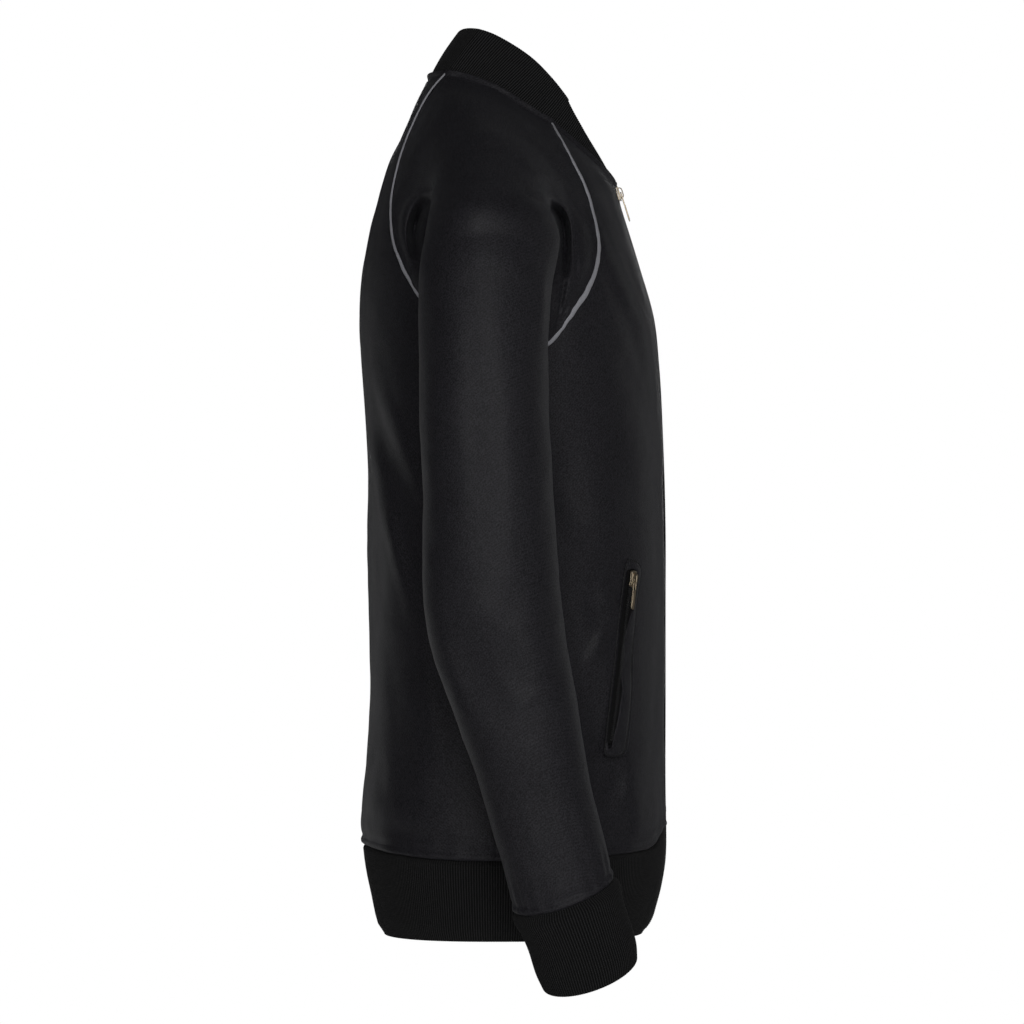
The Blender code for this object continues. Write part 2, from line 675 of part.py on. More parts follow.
def build_slider(name, pull_name, place, normal, downward):
    """Slider with its bridge, and the pull whose bar turns in the bridge's tunnel."""
    turn, origin = hardware_frame(place, normal, downward)
    outline = rounded(SLIDER_WIDTH, -SLIDER_LENGTH / 2, SLIDER_LENGTH / 2, SLIDER_CORNER)
    base_curve = outline_plate(name, [outline], SLIDER_THICK)
    base = add_object(name, solid_from(base_curve, name), METAL)
    base.matrix_world = Matrix.Translation(origin) @ turn @ Matrix.Translation((0, 0, SLIDER_THICK / 2 * MM))

    outer, inner = BRIDGE_LENGTH / 2, BRIDGE_LENGTH / 2 - BRIDGE_THICK
    sunk, roof = -BRIDGE_SUNK, TUNNEL_HEIGHT
    eave, ridge = roof + BRIDGE_THICK / 3, roof + BRIDGE_THICK
    arch = [(-outer, sunk), (-inner, sunk), (-inner, roof), (inner, roof), (inner, sunk), (outer, sunk),
            (outer, eave), (inner, ridge), (-inner, ridge), (-outer, eave)]
    arch_mesh = solid_from(outline_plate(name, [arch], BRIDGE_WIDTH), name + "_bridge")
    bridge = bpy.data.objects.new(name + "_bridge", arch_mesh)
    bridge.hide_render = True
    bridge.display_type = "WIRE"
    CUTTERS.objects.link(bridge)
    stand = Matrix(((0, 0, 1, 0), (1, 0, 0, 0), (0, 1, 0, SLIDER_THICK * MM), (0, 0, 0, 1)))
    bridge.matrix_world = Matrix.Translation(origin) @ turn @ stand
    join = base.modifiers.new("bridge", "BOOLEAN")
    join.operation = "UNION"
    join.object = bridge

    pivot = Vector((0, 0, (SLIDER_THICK + TUNNEL_HEIGHT / 2) * MM))
    half_window = PULL_WIDTH / 2 - PULL_SIDE
    top, window_top = PULL_BAR / 2, -PULL_BAR / 2
    window = [(-half_window, window_top), (half_window, window_top),
              (half_window, window_top - PULL_WINDOW), (-half_window, window_top - PULL_WINDOW)]
    plate = rounded(PULL_WIDTH, top - PULL_LENGTH, top, PULL_CORNER)
    pull_curve = outline_plate(pull_name, [plate, window], PULL_THICK)
    pull = add_object(pull_name, solid_from(pull_curve, pull_name), METAL)
    pull.matrix_world = Matrix.Translation(origin) @ turn @ Matrix.Translation(pivot)


def build_zips():
    down = Vector((0, 0, -1))
    for side, tag in ((RIGHT, "right"), (LEFT, "left")):
        build_front_tape(side, "front_zip_" + tag)
        build_pocket(side, tag)
        share = (SLIDER_LENGTH / 2 + SLIDER_BELOW_END) / (POCKET_TOP - POCKET_FOOT)
        lift = 2 * (SEAM_GAP + FACET_SLACK) + POCKET_TAPE_THICK
        top, lower = pocket_line(share, 0, lift, side), pocket_line(share * 2, 0, lift, side)
        _, normal, _ = body_frame(mix(POCKET_TOP_TURN, POCKET_FOOT_TURN, share), top.z, side)
        build_slider("pocket_slider_" + tag, "pocket_pull_" + tag, top, normal, lower - top)

    above = bare_body(0, FRONT_SLIDER_AT + SLIDER_LENGTH / 2, RIGHT)
    below = bare_body(0, FRONT_SLIDER_AT - SLIDER_LENGTH / 2, RIGHT)
    slope = (below - above).normalized()
    normal = Vector((0, slope.z, -slope.y)).normalized()
    place = (above + below) / 2 + normal * (SEAM_GAP + FACET_SLACK)
    build_slider("front_slider", "front_pull", place, normal, slope)


# ---------------------------------------------------------------- the jacket

for old in list(bpy.data.objects):
    bpy.data.objects.remove(old)

JACKET = bpy.data.collections.new("track_jacket")
CUTTERS = bpy.data.collections.new("cutters")
for collection in (JACKET, CUTTERS):
    bpy.context.scene.collection.children.link(collection)

SHELL = material("shell_knit", (0.020, 0.020, 0.022), 0.55)
RIB = material("rib_knit", (0.012, 0.012, 0.012), 0.9)
PIPING = material("piping", (0.35, 0.35, 0.37), 0.6)
ZIP_TAPE = material("zip_tape", (0.010, 0.010, 0.011), 0.8)
METAL = material("zip_metal", (0.75, 0.72, 0.68), 0.3, 1.0)

build_body()
for SIDE, TAG in ((RIGHT, "right"), (LEFT, "left")):
    build_sleeve(SIDE, "sleeve_" + TAG)
    build_cuff(SIDE, "cuff_" + TAG)
    build_piping(FRONT_SEAM, SIDE, "piping_front_" + TAG)
    build_piping(BACK_SEAM, SIDE, "piping_back_" + TAG)
build_collar()
build_waistband()
build_zips()
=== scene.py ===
"""Looks of the worn, hollow track jacket: knitted shell with its creases, rib knit, piping, zips and stitching.

Sizes are millimetres in the CAD frame (front towards -Y, the wearer's right towards -X, +Z up) and become
metres when a mesh is made.
"""
import math
from collections import namedtuple

import bmesh
import bpy
import numpy as np
from mathutils import Matrix, Vector, noise


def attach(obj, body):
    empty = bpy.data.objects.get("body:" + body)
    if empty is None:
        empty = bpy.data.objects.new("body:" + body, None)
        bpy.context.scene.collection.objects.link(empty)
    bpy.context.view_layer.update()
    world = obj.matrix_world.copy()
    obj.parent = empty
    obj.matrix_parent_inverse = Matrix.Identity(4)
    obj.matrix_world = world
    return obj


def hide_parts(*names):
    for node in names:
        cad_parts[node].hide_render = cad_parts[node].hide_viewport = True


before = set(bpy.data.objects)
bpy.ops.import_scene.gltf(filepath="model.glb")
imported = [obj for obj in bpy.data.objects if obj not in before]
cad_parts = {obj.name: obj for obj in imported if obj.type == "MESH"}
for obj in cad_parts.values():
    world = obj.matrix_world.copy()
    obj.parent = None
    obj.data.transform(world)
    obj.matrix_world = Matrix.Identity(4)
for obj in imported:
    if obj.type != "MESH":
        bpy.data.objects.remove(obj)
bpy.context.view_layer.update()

MM = 0.001
RIGHT, LEFT = -1, 1                   # sign of X on the wearer's right and left
SIDES = ((RIGHT, "right"), (LEFT, "left"))

# ---------------------------------------------------------------- the jacket's form, as in the CAD

RIB_THICK, PIPING_PROUD = 2.6, 0.3
PANEL_GAP = -0.4                       # from a raglan seam's line to the cloth, under the piping
UNDERARM_GAP = 2.0
FRONT_EDGE, TAPE_EDGE, TAPE_MIDDLE = 5.0, 4.8, 0.1

BODY_MIDDLE, BACK_SQUARE = -10.0, 2.4
Body = namedtuple("Body", "height back front half_width front_square")
BODY = [
    Body(-615, 96.0, -146.0, 165, 2.4),
    Body(-567, 95.0, -145.0, 167, 2.4),
    Body(-494, 90.5, -145.0, 169, 2.4),
    Body(-420, 90.5, -145.0, 171, 2.4),
    Body(-356, 91.0, -145.0, 174, 2.4),
    Body(-285, 92.5, -143.0, 177, 2.4),
    Body(-228, 96.5, -140.0, 178, 2.4),
    Body(-190, 98.5, -136.0, 177, 2.4),
    Body(-147, 96.0, -124.0, 173, 2.4),
    Body(-121, 90.5, -116.0, 168, 2.25),
    Body(-102, 85.0, -110.0, 163, 2.1),
    Body(-82, 79.5, -104.0, 157, 2.0),
    Body(-64, 74.0, -92.0, 150, 2.0),
    Body(-50, 68.0, -78.5, 143, 2.0),
    Body(-35, 61.5, -61.8, 134, 2.0),
    Body(-18, 54.0, -52.0, 118, 2.0),
    Body(0, 45.0, -42.0, 92, 2.0),
    Body(10, 38.0, -38.0, 76, 2.0),
]
WAIST_SEAM_CENTRE, WAIST_SEAM_SIDE, FRONT_LIFT = -607.0, -615.0, 13.0
UNDERARM, NECK_FRONT, NECK_BACK, NECK_SCOOP = -228.0, -82.0, 5.0, 5.0

Seam = namedtuple("Seam", "height depth")
FRONT_SEAM = [
    Seam(-228, -10), Seam(-223, -31), Seam(-210, -53), Seam(-190, -68.5), Seam(-167, -83.5),
    Seam(-138, -91), Seam(-121, -89), Seam(-90.5, -81.5), Seam(-61.5, -67.5), Seam(-35, -54),
]
BACK_SEAM = [
    Seam(-228, -10), Seam(-220, 8), Seam(-200, 29), Seam(-176, 48), Seam(-156, 60), Seam(-129, 70),
    Seam(-107, 72), Seam(-68, 66), Seam(-37, 55), Seam(-7, 38.5), Seam(5, 28),
]

Cap = namedtuple("Cap", "along back_x back_y back_z out_x out_y out_z front_x front_y front_z tuck")
CAP = [
    Cap(0.0, 232, 49, -213, 284, -2, -207, 232, -51, -211, 0),
    Cap(0.2, 223, 49, -162, 271, -2, -147, 223, -55, -168, 14),
    Cap(0.4, 203, 43, -114, 244, -3, -98, 203, -61, -128, 20),
    Cap(0.6, 167, 39, -68, 192, -5, -56, 171, -50, -84, 6),
    Cap(0.8, 121, 31, -25, 130, -8, -29, 129, -42, -50, 0),
    Cap(1.0, 69, 14, 2, 77, -10, -8, 77, -33, -22, 0),
]
Arm = namedtuple("Arm", "along back_y back_z front_y front_z inner_x outer_x")
ARM = [
    Arm(0, 49, -213, -51, -211, 180, 284),
    Arm(14, 48, -268, -52, -266, 182, 286),
    Arm(28, 45.5, -327, -55.5, -325, 187, 288),
    Arm(42, 46, -390, -59, -382, 191, 290),
    Arm(50, 45, -418, -60, -404, 193, 290),
    Arm(62, 35, -462, -65, -440, 195, 289),
    Arm(76, 16, -515, -74, -490, 198, 285),
    Arm(90, -5, -577, -84.5, -554, 203, 277),
    Arm(100, -25, -650, -101, -623, 207, 270),
]
FOLLOW_FROM, FOLLOW_FULL = 0.2, 0.6
TUBE_TO, OVER_FROM = 0.45, 0.8
MOST_TURN = math.radians(110)
OUTER_LIFT = 7.0
TUCK_BACK, TUCK_FRONT, TUCK_WIDTH = 0.15, 0.85, 0.055

Fold = namedtuple("Fold", "turn_a height_a turn_b height_b half_width rise")
TURN_SPAN = 2.8                       # millimetres around the body for one degree
BODY_FOLDS = [
    Fold(40, -130, 18, -250, 14, 1.6),
    Fold(62, -215, 30, -310, 18, 2.0),
    Fold(76, -290, 58, -420, 26, -4.0),
    Fold(66, -440, 72, -520, 20, 2.5),
    Fold(150, -300, 118, -430, 16, 2.5),
    Fold(166, -240, 140, -390, 18, 2.0),
    Fold(120, -560, 175, -585, 16, 2.0),
    Fold(20, -570, 80, -588, 14, 2.0),
]

Rise = namedtuple("Rise", "along inward forward up")
COLLAR_RISE = [
    Rise(0, 0.5, 0.8, 2.2),
    Rise(12, 2.0, 2.0, 4.0),
    Rise(26, 5.0, 6.5, 10.0),
    Rise(42, 9.0, 17.0, 21.5),
    Rise(58, 12.0, 27.2, 26.2),
    Rise(78, 11.0, 25.0, 36.5),
    Rise(100, 0.0, 22.0, 35.5),
]
COLLAR_BOW = 1.2

Band = namedtuple("Band", "drop back front")   # inside the body form, at centre back and centre front
BAND = [Band(0, 0, 0), Band(14, 1.6, 0), Band(25, 3.4, 0.8), Band(34, 5.4, 2.4), Band(44, 7.6, 4.8),
        Band(54, 9.6, 8.0), Band(63, 12.0, 11.4), Band(68, 14.6, 15.0), Band(71, 17.8, 18.6), Band(72, 20, 21)]
Cuff = namedtuple("Cuff", "down wider tilt swing")
CUFF = [Cuff(0, 0.0, 0.31, 0.0), Cuff(5, 2.8, 0.32, 0.0), Cuff(14, 1.8, 0.33, 0.1), Cuff(34, 0.2, 0.37, 0.3),
        Cuff(54, -0.4, 0.41, -0.4), Cuff(64, -2.4, 0.43, -1.4)]
TILT_FROM = 72

POCKET_TOP_TURN, POCKET_TOP = 41.5, -387.0
POCKET_FOOT_TURN, POCKET_FOOT = 52.0, -524.0
POCKET_TAPE_WIDTH, POCKET_TAPE_THICK = 12.0, 1.0

SLIDER_WIDTH, SLIDER_LENGTH, SLIDER_THICK = 6.6, 13.0, 2.6
BRIDGE_WIDTH, BRIDGE_THICK, BRIDGE_LENGTH, TUNNEL_HEIGHT = 2.0, 0.9, 9.0, 2.0
PULL_WIDTH, PULL_LENGTH, PULL_THICK = 4.2, 24.5, 1.0
PULL_BAR, PULL_SIDE, PULL_WINDOW = 1.0, 1.1, 8.5
FRONT_SLIDER_AT = -89.0
SLIDER_LIFT = 0.5                     # of a slider off its tape
SLIDER_BELOW_END = 2.0                # from a pocket tape's top end to its slider

# ---------------------------------------------------------------- creases

# Seen from the side and projected on the centre plane: a line of y and z, its half width, and its rise towards
# the eye
EYE_OUT, EYE_Y, EYE_Z = 6000.0, -23.2, -343.2
Crease = namedtuple("Crease", "half_width rise line")
# Gaps that open beside the arm, only in the cloth between it and the body
ARMPIT_GAPS = [
    Crease(3.6, -42, [(-54, -98), (-61, -104), (-64.5, -114), (-65.5, -126), (-65.5, -138), (-65, -150)]),
    Crease(2.0, -9, [(-66, -142), (-64.5, -160), (-61.5, -178), (-57, -194)]),
    Crease(3.4, -7, [(-67, -176), (-63, -188), (-57, -200)]),
    Crease(4.2, -38, [(47, -96), (52, -105), (54.8, -114), (55.4, -124), (54, -135)]),
]
SLEEVE_CREASES = [
    # in front of the armpit: the rolled edge round the gap, and the pulls above it
    Crease(2.0, -2.6, [(-37, -90), (-47, -94.5), (-56, -100), (-62, -108)]),
    Crease(2.6, 1.8, [(-36, -86), (-49, -88.6), (-61, -97), (-68, -109), (-71.5, -120), (-72.5, -140),
                      (-69, -154)]),
    Crease(1.5, -1.8, [(-68, -106), (-72.6, -121), (-73.6, -135), (-75, -152), (-74.5, -158)]),
    Crease(6.0, 3.0, [(-72, -100), (-79, -118), (-80, -138), (-74, -158)]),
    Crease(1.4, 1.2, [(-54, -84), (-62, -93), (-70, -107)]),
    Crease(4.0, -2.4, [(-54, -76), (-69, -93), (-85, -112), (-92, -128)]),
    Crease(1.4, 1.1, [(-66, -84), (-77, -100), (-87, -115), (-91, -124)]),
    Crease(2.2, 1.6, [(-45, -69), (-54, -77), (-63, -89)]),
    Crease(3.0, -1.2, [(-44, -60), (-56, -68), (-70, -84)]),
    Crease(3.0, 1.0, [(-58, -48), (-72, -62), (-86, -90)]),
    # behind the armpit
    Crease(1.6, -3.0, [(38, -94), (44, -95), (49, -99)]),
    Crease(1.8, 2.8, [(36.6, -85.6), (45, -86.8), (53, -90), (59, -96), (63, -103.5), (65, -112), (65, -122)]),
    Crease(3.4, 5.5, [(36, -89), (45, -89), (54, -93), (60, -102), (62.5, -114), (62, -128), (58, -142)]),
    Crease(1.4, 1.0, [(47, -75), (53, -86), (60, -95), (66, -108)]),
    Crease(4.0, -2.0, [(62, -86), (70, -104), (71, -124), (66, -144)]),
    Crease(3.4, 0.9, [(46, -36), (56, -60), (66, -86)]),
    Crease(3.0, -0.8, [(34, -16), (44, -36), (52, -62)]),
    # where the shoulder turns down into the arm
    Crease(15, 6.5, [(42, -108), (20, -101), (-10, -98), (-42, -104)]),
    # the arm's front edge below the armpit
    Crease(3.2, -2.6, [(-57, -144), (-54, -164), (-54, -180), (-52, -206)]),
    Crease(4.0, 1.2, [(-50, -150), (-49, -178), (-47, -214)]),
    # soft lengthwise folds down the upper arm
    Crease(12, 1.3, [(28, -150), (24, -260), (20, -350)]),
    Crease(13, -1.4, [(6, -190), (0, -290), (-4, -380)]),
    Crease(13, 1.2, [(-26, -210), (-28, -300), (-34, -390)]),
    Crease(8, 0.9, [(44, -200), (42, -270), (44, -330)]),
    # elbow and forearm
    Crease(7, -1.6, [(46, -360), (34, -382), (18, -392)]),
    Crease(9, 1.8, [(46, -392), (36, -440), (12, -520)]),
    Crease(14, -2.2, [(22, -440), (0, -490), (-26, -520)]),
    Crease(24, -6.0, [(24, -446), (-4, -470), (-34, -496)]),
    Crease(12, 1.8, [(-34, -400), (-42, -450), (-56, -500)]),
    Crease(5, -1.0, [(-60, -424), (-48, -434), (-36, -440)]),
    Crease(5, -1.0, [(-66, -470), (-54, -478), (-40, -482)]),
    Crease(9, 1.2, [(6, -560), (-14, -600), (-34, -636)]),
    Crease(9, -1.2, [(-40, -560), (-52, -600), (-66, -634)]),
    Crease(6, 1.0, [(-72, -570), (-84, -604), (-92, -624)]),
]
ARMPIT_CREASES = 18                   # how many lie round the armpit; the rest also crease the arm's inner side
CREASE_SHARE = {RIGHT: 1.0, LEFT: 0.9}
FRONT_CREASES = [
    Crease(3.6, 2.0, [(-76, -60), (-96, -100), (-124, -164)]),
    Crease(3.0, 1.5, [(-90, -66), (-105, -94), (-118, -128)]),
    Crease(3.0, -1.5, [(-84, -62), (-104, -106), (-130, -170)]),
    Crease(4.6, 2.0, [(-90, -114), (-104, -152), (-120, -186)]),
    Crease(5.6, -1.7, [(-94, -140), (-110, -176), (-124, -214)]),
    Crease(13, -5.0, [(-60, -296), (-66, -326), (-80, -356)]),
    Crease(17, -9.0, [(-64, -420), (-77, -480), (-91, -545), (-100, -606)]),
    Crease(5.0, 3.0, [(-106, -426), (-96, -442), (-84, -466)]),
    Crease(5.0, 2.2, [(-95, -404), (-99, -412), (-106, -424)]),
    Crease(6.0, -2.2, [(-84, -404), (-88, -424), (-92, -434)]),
    Crease(7.0, -2.6, [(-108, -544), (-106, -560), (-100, -576)]),
    Crease(6.0, -2.0, [(-119, -580), (-116, -594), (-110, -604)]),
    Crease(8.0, 1.8, [(-124, -540), (-122, -566), (-124, -592)]),
]
BACK_CREASES = [
    Crease(6.0, 3.2, [(96, -204), (82, -245), (68, -280), (50, -330)]),
    Crease(8.0, -3.6, [(94, -240), (86, -276), (68, -314), (50, -352)]),
    Crease(8.0, 3.2, [(90, -292), (80, -339), (73, -374), (64, -420)]),
    Crease(9.0, -3.2, [(80, -304), (68, -346), (57, -381), (46, -414)]),
    Crease(6.0, -1.0, [(98, -200), (84, -240), (74, -262)]),
    Crease(9.0, 1.8, [(88, -440), (82, -500), (80, -560)]),
    Crease(9.0, -1.8, [(70, -450), (66, -520), (60, -580)]),
    Crease(6.0, 1.4, [(50, -440), (46, -490), (36, -540)]),
    Crease(6.0, -2.6, [(92, -596), (60, -603), (16, -608)]),
    Crease(9.0, 2.0, [(92, -576), (60, -586), (20, -592)]),
]
# Round the body, out of the side camera's sight: turn in degrees, 180 at centre back
HIDDEN_FOLDS = [
    Fold(172, -60, 158, -150, 10, 1.0),
    Fold(176, -330, 160, -470, 14, 1.4),
    Fold(150, -520, 172, -590, 10, 1.0),
    Fold(8, -150, 14, -300, 10, 0.8),
    Fold(10, -420, 24, -560, 12, 1.0),
    Fold(26, -330, 14, -440, 12, -1.0),
]

# Mesh steps
HALF_COLUMNS, LOWER_ROWS, UPPER_ROWS = 104, 176, 84     # of half a panel, below and above the underarm
SLEEVE_COLUMNS, CAP_ROWS, ARM_ROWS = 184, 126, 186
RIB_STEPS = 6                         # columns for each rib
RIB_UV = 2.0                          # of the UV map for one rib
COLLAR_PITCH, HEM_PITCH, CUFF_PITCH = 1.9, 2.1, 1.85
COLLAR_RELIEF, RIB_RELIEF = 1.0, 0.6
INSIDE_ROWS = 4                       # of a doubled rib
CUFF_LINING_TO = 6.0                  # down from the cuff's seam, where its inner layer ends
RIB_SUNK, RIB_SUNK_TO = 3.2, 4.0      # how far a rib tucks under the shell's edge, and down to where


# ---------------------------------------------------------------- numbers

def hermite(start, start_pull, end, end_pull, t):
    return (start * (2 * t ** 3 - 3 * t ** 2 + 1) + start_pull * (t ** 3 - 2 * t ** 2 + t)
            + end * (3 * t ** 2 - 2 * t ** 3) + end_pull * (t ** 3 - t ** 2))


def smooth(rows, key, column, at):
    """A column of a table at places along its key, on smooth curves through the rows."""
    keys = np.array([getattr(row, key) for row in rows], float)
    values = np.array([getattr(row, column) for row in rows], float)
    at = np.clip(at, keys[0], keys[-1])
    low = np.clip(np.searchsorted(keys, at, side="right") - 1, 0, len(keys) - 2)
    steps = np.diff(keys)
    secants = np.diff(values) / steps
    slopes = np.empty_like(values)
    slopes[0], slopes[-1] = secants[0], secants[-1]
    slopes[1:-1] = (secants[:-1] * steps[1:] + secants[1:] * steps[:-1]) / (steps[1:] + steps[:-1])
    step = steps[low]
    return hermite(values[low], slopes[low] * step, values[low + 1], slopes[low + 1] * step,
                   (at - keys[low]) / step)


def row_at(rows, at):
    """A whole row of a table, at one place along its first column."""
    kind = type(rows[0])
    return kind(at, *(float(smooth(rows, kind._fields[0], column, at)) for column in kind._fields[1:]))


def mix(a, b, t):
    return a + (b - a) * t


def ramp(low, high, value):
    t = np.clip((value - low) / (high - low), 0, 1)
    return t * t * (3 - 2 * t)


def bump(distance):
    return np.where(np.abs(distance) < 1, (1 - distance ** 2) ** 2, 0.0)


def wavy(at, pitch, drift, over):
    """Waves of uneven pitch: gathers, puckers and stitches are never quite regular."""
    return np.sin(at / pitch + drift * np.sin(at / over))


def unit(vectors):
    vectors = np.asarray(vectors, float)
    return vectors / np.maximum(np.linalg.norm(vectors, axis=-1, keepdims=True), 1e-9)


def vec(*numbers):
    return np.array(numbers, float)


def crowded(rows, near, near_rows):
    """Shares from 0 to 1 in even steps, but near_rows finer ones in the last share called near."""
    return np.concatenate([np.linspace(0, 1 - near, rows + 1)[:-1], np.linspace(1 - near, 1, near_rows + 1)])


def arc_lengths(points):
    """Running length along the first axis."""
    steps = np.linalg.norm(np.diff(points, axis=0), axis=-1)
    return np.concatenate([np.zeros_like(steps[:1]), np.cumsum(steps, axis=0)])


def widths(grid):
    """Running length along each row of a grid."""
    return arc_lengths(np.swapaxes(grid, 0, 1)).T


def picked(at, lengths, points):
    """Points at places along a line, from its running lengths."""
    return np.stack([np.interp(at, lengths, points[:, axis]) for axis in range(3)], axis=-1)


def resampled(points, count):
    """The same line in even steps."""
    lengths = arc_lengths(points)
    return picked(np.linspace(0, lengths[-1], count), lengths, points)


# ---------------------------------------------------------------- body form and seams

def bare_body(turn, height, side):
    back, front, half_width, square = (
        smooth(BODY, "height", column, height) for column in ("back", "front", "half_width", "front_square"))
    behind = turn > 90
    power = np.where(behind, BACK_SQUARE, square)
    reach = np.where(behind, back, front) - BODY_MIDDLE
    angle = np.radians(turn)
    x = half_width * np.abs(np.sin(angle)) ** (2 / power)
    y = BODY_MIDDLE + reach * np.abs(np.cos(angle)) ** (2 / power)
    return np.stack([side * x, y, height + 0 * x], axis=-1)


def folds_at(folds, turn, height):
    rise = 0.0
    for fold in folds:
        run = vec((fold.turn_b - fold.turn_a) * TURN_SPAN, fold.height_b - fold.height_a)
        here = np.stack([(turn - fold.turn_a) * TURN_SPAN, height - fold.height_a], axis=-1)
        along = np.clip(here @ run / (run @ run), 0, 1)
        aside = np.linalg.norm(here - along[..., None] * run, axis=-1)
        rise = rise + fold.rise * bump(aside / (2 * fold.half_width)) * np.sin(math.pi * (0.15 + 0.7 * along))
    return rise


def body_frame(turn, height, side):
    """Points of the folded shell, the outward normals there and the way towards the side seam."""
    turn, height = np.broadcast_arrays(np.asarray(turn, float), np.asarray(height, float))
    step = 0.5
    ahead = (bare_body(np.minimum(turn + step, 180), height, side)
             - bare_body(np.maximum(turn - step, 0), height, side))
    rising = bare_body(turn, height + 1, side) - bare_body(turn, height - 1, side)
    normal = unit(np.cross(ahead, rising)) * side
    place = bare_body(turn, height, side)
    middle = np.stack([0 * height, 0 * height + BODY_MIDDLE, height], axis=-1)
    inward = np.sum(normal * (place - middle), axis=-1) < 0
    normal = np.where(inward[..., None], -normal, normal)
    toward_side = unit(ahead) * np.where(turn <= 90, 1, -1)[..., None]
    return place + normal * folds_at(BODY_FOLDS, turn, height)[..., None], normal, toward_side


def seam_place(rows, along):
    """Turn and height of a raglan seam at shares of its length, 0 underarm to 1 neckline."""
    points = np.array([(0, row.height, row.depth) for row in rows], float)
    lengths = arc_lengths(points)
    Step = namedtuple("Step", "along height depth")
    steps = [Step(length / lengths[-1], row.height, row.depth) for length, row in zip(lengths, rows)]
    height, depth = smooth(steps, "along", "height", along), smooth(steps, "along", "depth", along)
    is_back = rows is BACK_SEAM
    reach = smooth(BODY, "height", "back" if is_back else "front", height) - BODY_MIDDLE
    power = BACK_SQUARE if is_back else smooth(BODY, "height", "front_square", height)
    turn = np.degrees(np.arccos(np.clip((depth - BODY_MIDDLE) / reach, 0, 1) ** (power / 2)))
    return (180 - turn if is_back else turn), height


def seam_frame(rows, along, side):
    """Points of a raglan seam, the shell's normals there, and the way across it to the sleeve."""
    along = np.asarray(along, float)
    place, normal, toward_side = body_frame(*seam_place(rows, along), side)
    ahead = body_frame(*seam_place(rows, np.minimum(along + 0.01, 1)), side)[0]
    behind = body_frame(*seam_place(rows, np.maximum(along - 0.01, 0)), side)[0]
    across = unit(np.cross(normal, ahead - behind))
    wrong = np.sum(across * (toward_side + vec(0, 0, 1)), axis=-1) < 0
    return place, normal, np.where(wrong[..., None], -across, across)


def waist_seam(turn):
    level = mix(WAIST_SEAM_CENTRE, WAIST_SEAM_SIDE, np.sin(np.radians(turn)) ** 2)
    return level + FRONT_LIFT * (1 - ramp(6, 32, turn))


def edge_turn(height, distance):
    half_width = smooth(BODY, "height", "half_width", height)
    square = smooth(BODY, "height", "front_square", height)
    return np.degrees(np.arcsin((distance / half_width) ** (square / 2)))


# ---------------------------------------------------------------- grids of cloth

def crossed(grid):
    """Normals of a grid of points, of any length and on either side."""
    return np.cross(np.gradient(grid, axis=0), np.gradient(grid, axis=1))


def grid_normals(grid, centre):
    """Unit normals of a grid of points, away from the centre of each row."""
    normals = unit(crossed(grid))
    if np.sum(normals * (grid - centre)) < 0:
        normals = -normals
    return normals


def moved(grid, centre, rise):
    return grid + grid_normals(grid, centre) * rise[..., None]


def seen_from_side(grid):
    """Y and Z of points as a camera level with the jacket sees them, projected on its centre plane."""
    near = 1 - np.abs(grid[..., 0]) / EYE_OUT
    return np.stack([EYE_Y + (grid[..., 1] - EYE_Y) / near, EYE_Z + (grid[..., 2] - EYE_Z) / near], axis=-1)


def curve_through(knots, steps=8):
    """Smooth line through knots, in even steps between each two."""
    knots = np.array(knots, float)
    pulls = np.gradient(knots, axis=0)
    t = np.linspace(0, 1, steps + 1)[:-1, None]
    pieces = [hermite(a, a_pull, b, b_pull, t) for a, a_pull, b, b_pull in
              zip(knots, pulls, knots[1:], pulls[1:])]
    return np.concatenate(pieces + [knots[-1:]])


def creases_at(creases, seen, shift=(0.0, 0.0)):
    """Rise of the cloth by a table of creases, for points as seen from the side."""
    rise = np.zeros(seen.shape[:-1])
    for crease in creases:
        line = curve_through(crease.line) + shift
        reach = crease.half_width * 1.6
        low, high = line.min(axis=0) - reach, line.max(axis=0) + reach
        near = np.all((seen > low) & (seen < high), axis=-1)
        if not near.any():
            continue
        here = seen[near]
        best, along = np.full(len(here), 1e9), np.zeros(len(here))
        for number, (a, b) in enumerate(zip(line, line[1:])):
            share = np.clip((here - a) @ (b - a) / ((b - a) @ (b - a)), 0, 1)
            aside = np.linalg.norm(here - a - share[:, None] * (b - a), axis=-1)
            closer = aside < best
            best = np.where(closer, aside, best)
            along = np.where(closer, (number + share) / (len(line) - 1), along)
        taper = np.sin(math.pi * (0.05 + 0.9 * along)) ** 0.7
        rise[near] += crease.rise * bump(best / reach) * taper
    return rise


def towards_eye(grid, middle, side, rise):
    """Moves what faces sideways by rise straight out, so that creases stay where they are seen."""
    outward = grid_normals(grid, middle)[..., 0] * side
    shift = np.zeros_like(grid)
    shift[..., 0] = side * rise * ramp(-0.1, 0.25, outward)
    return grid + shift


def blurred(grid, spread, closed):
    """Each row averaged along itself, its open ends kept."""
    reach = int(spread * 3)
    lead = np.where(closed[:, None, None], grid[:, -1 - reach:-1], 2 * grid[:, :1] - grid[:, reach:0:-1])
    tail = np.where(closed[:, None, None], grid[:, 1:reach + 1], 2 * grid[:, -1:] - grid[:, -2:-2 - reach:-1])
    padded = np.concatenate([lead, grid, tail], axis=1)
    weights = np.exp(-0.5 * (np.arange(-reach, reach + 1) / spread) ** 2)
    weights /= weights.sum()
    return sum(weight * padded[:, at:at + grid.shape[1]] for at, weight in enumerate(weights))


def softened(grid, row, reach, spread):
    """Rows near one row are averaged along their columns, to round a bend there."""
    smoothed = grid.copy()
    for number in range(row - reach, row + reach + 1):
        near = np.arange(number - spread * 2, number + spread * 2 + 1)
        weight = np.exp(-0.5 * ((near - number) / spread) ** 2)
        mean = np.einsum("r,rcx->cx", weight / weight.sum(), grid[near])
        smoothed[number] = mix(grid[number], mean, float(bump((number - row) / (reach + 1))) ** 0.5)
    return smoothed


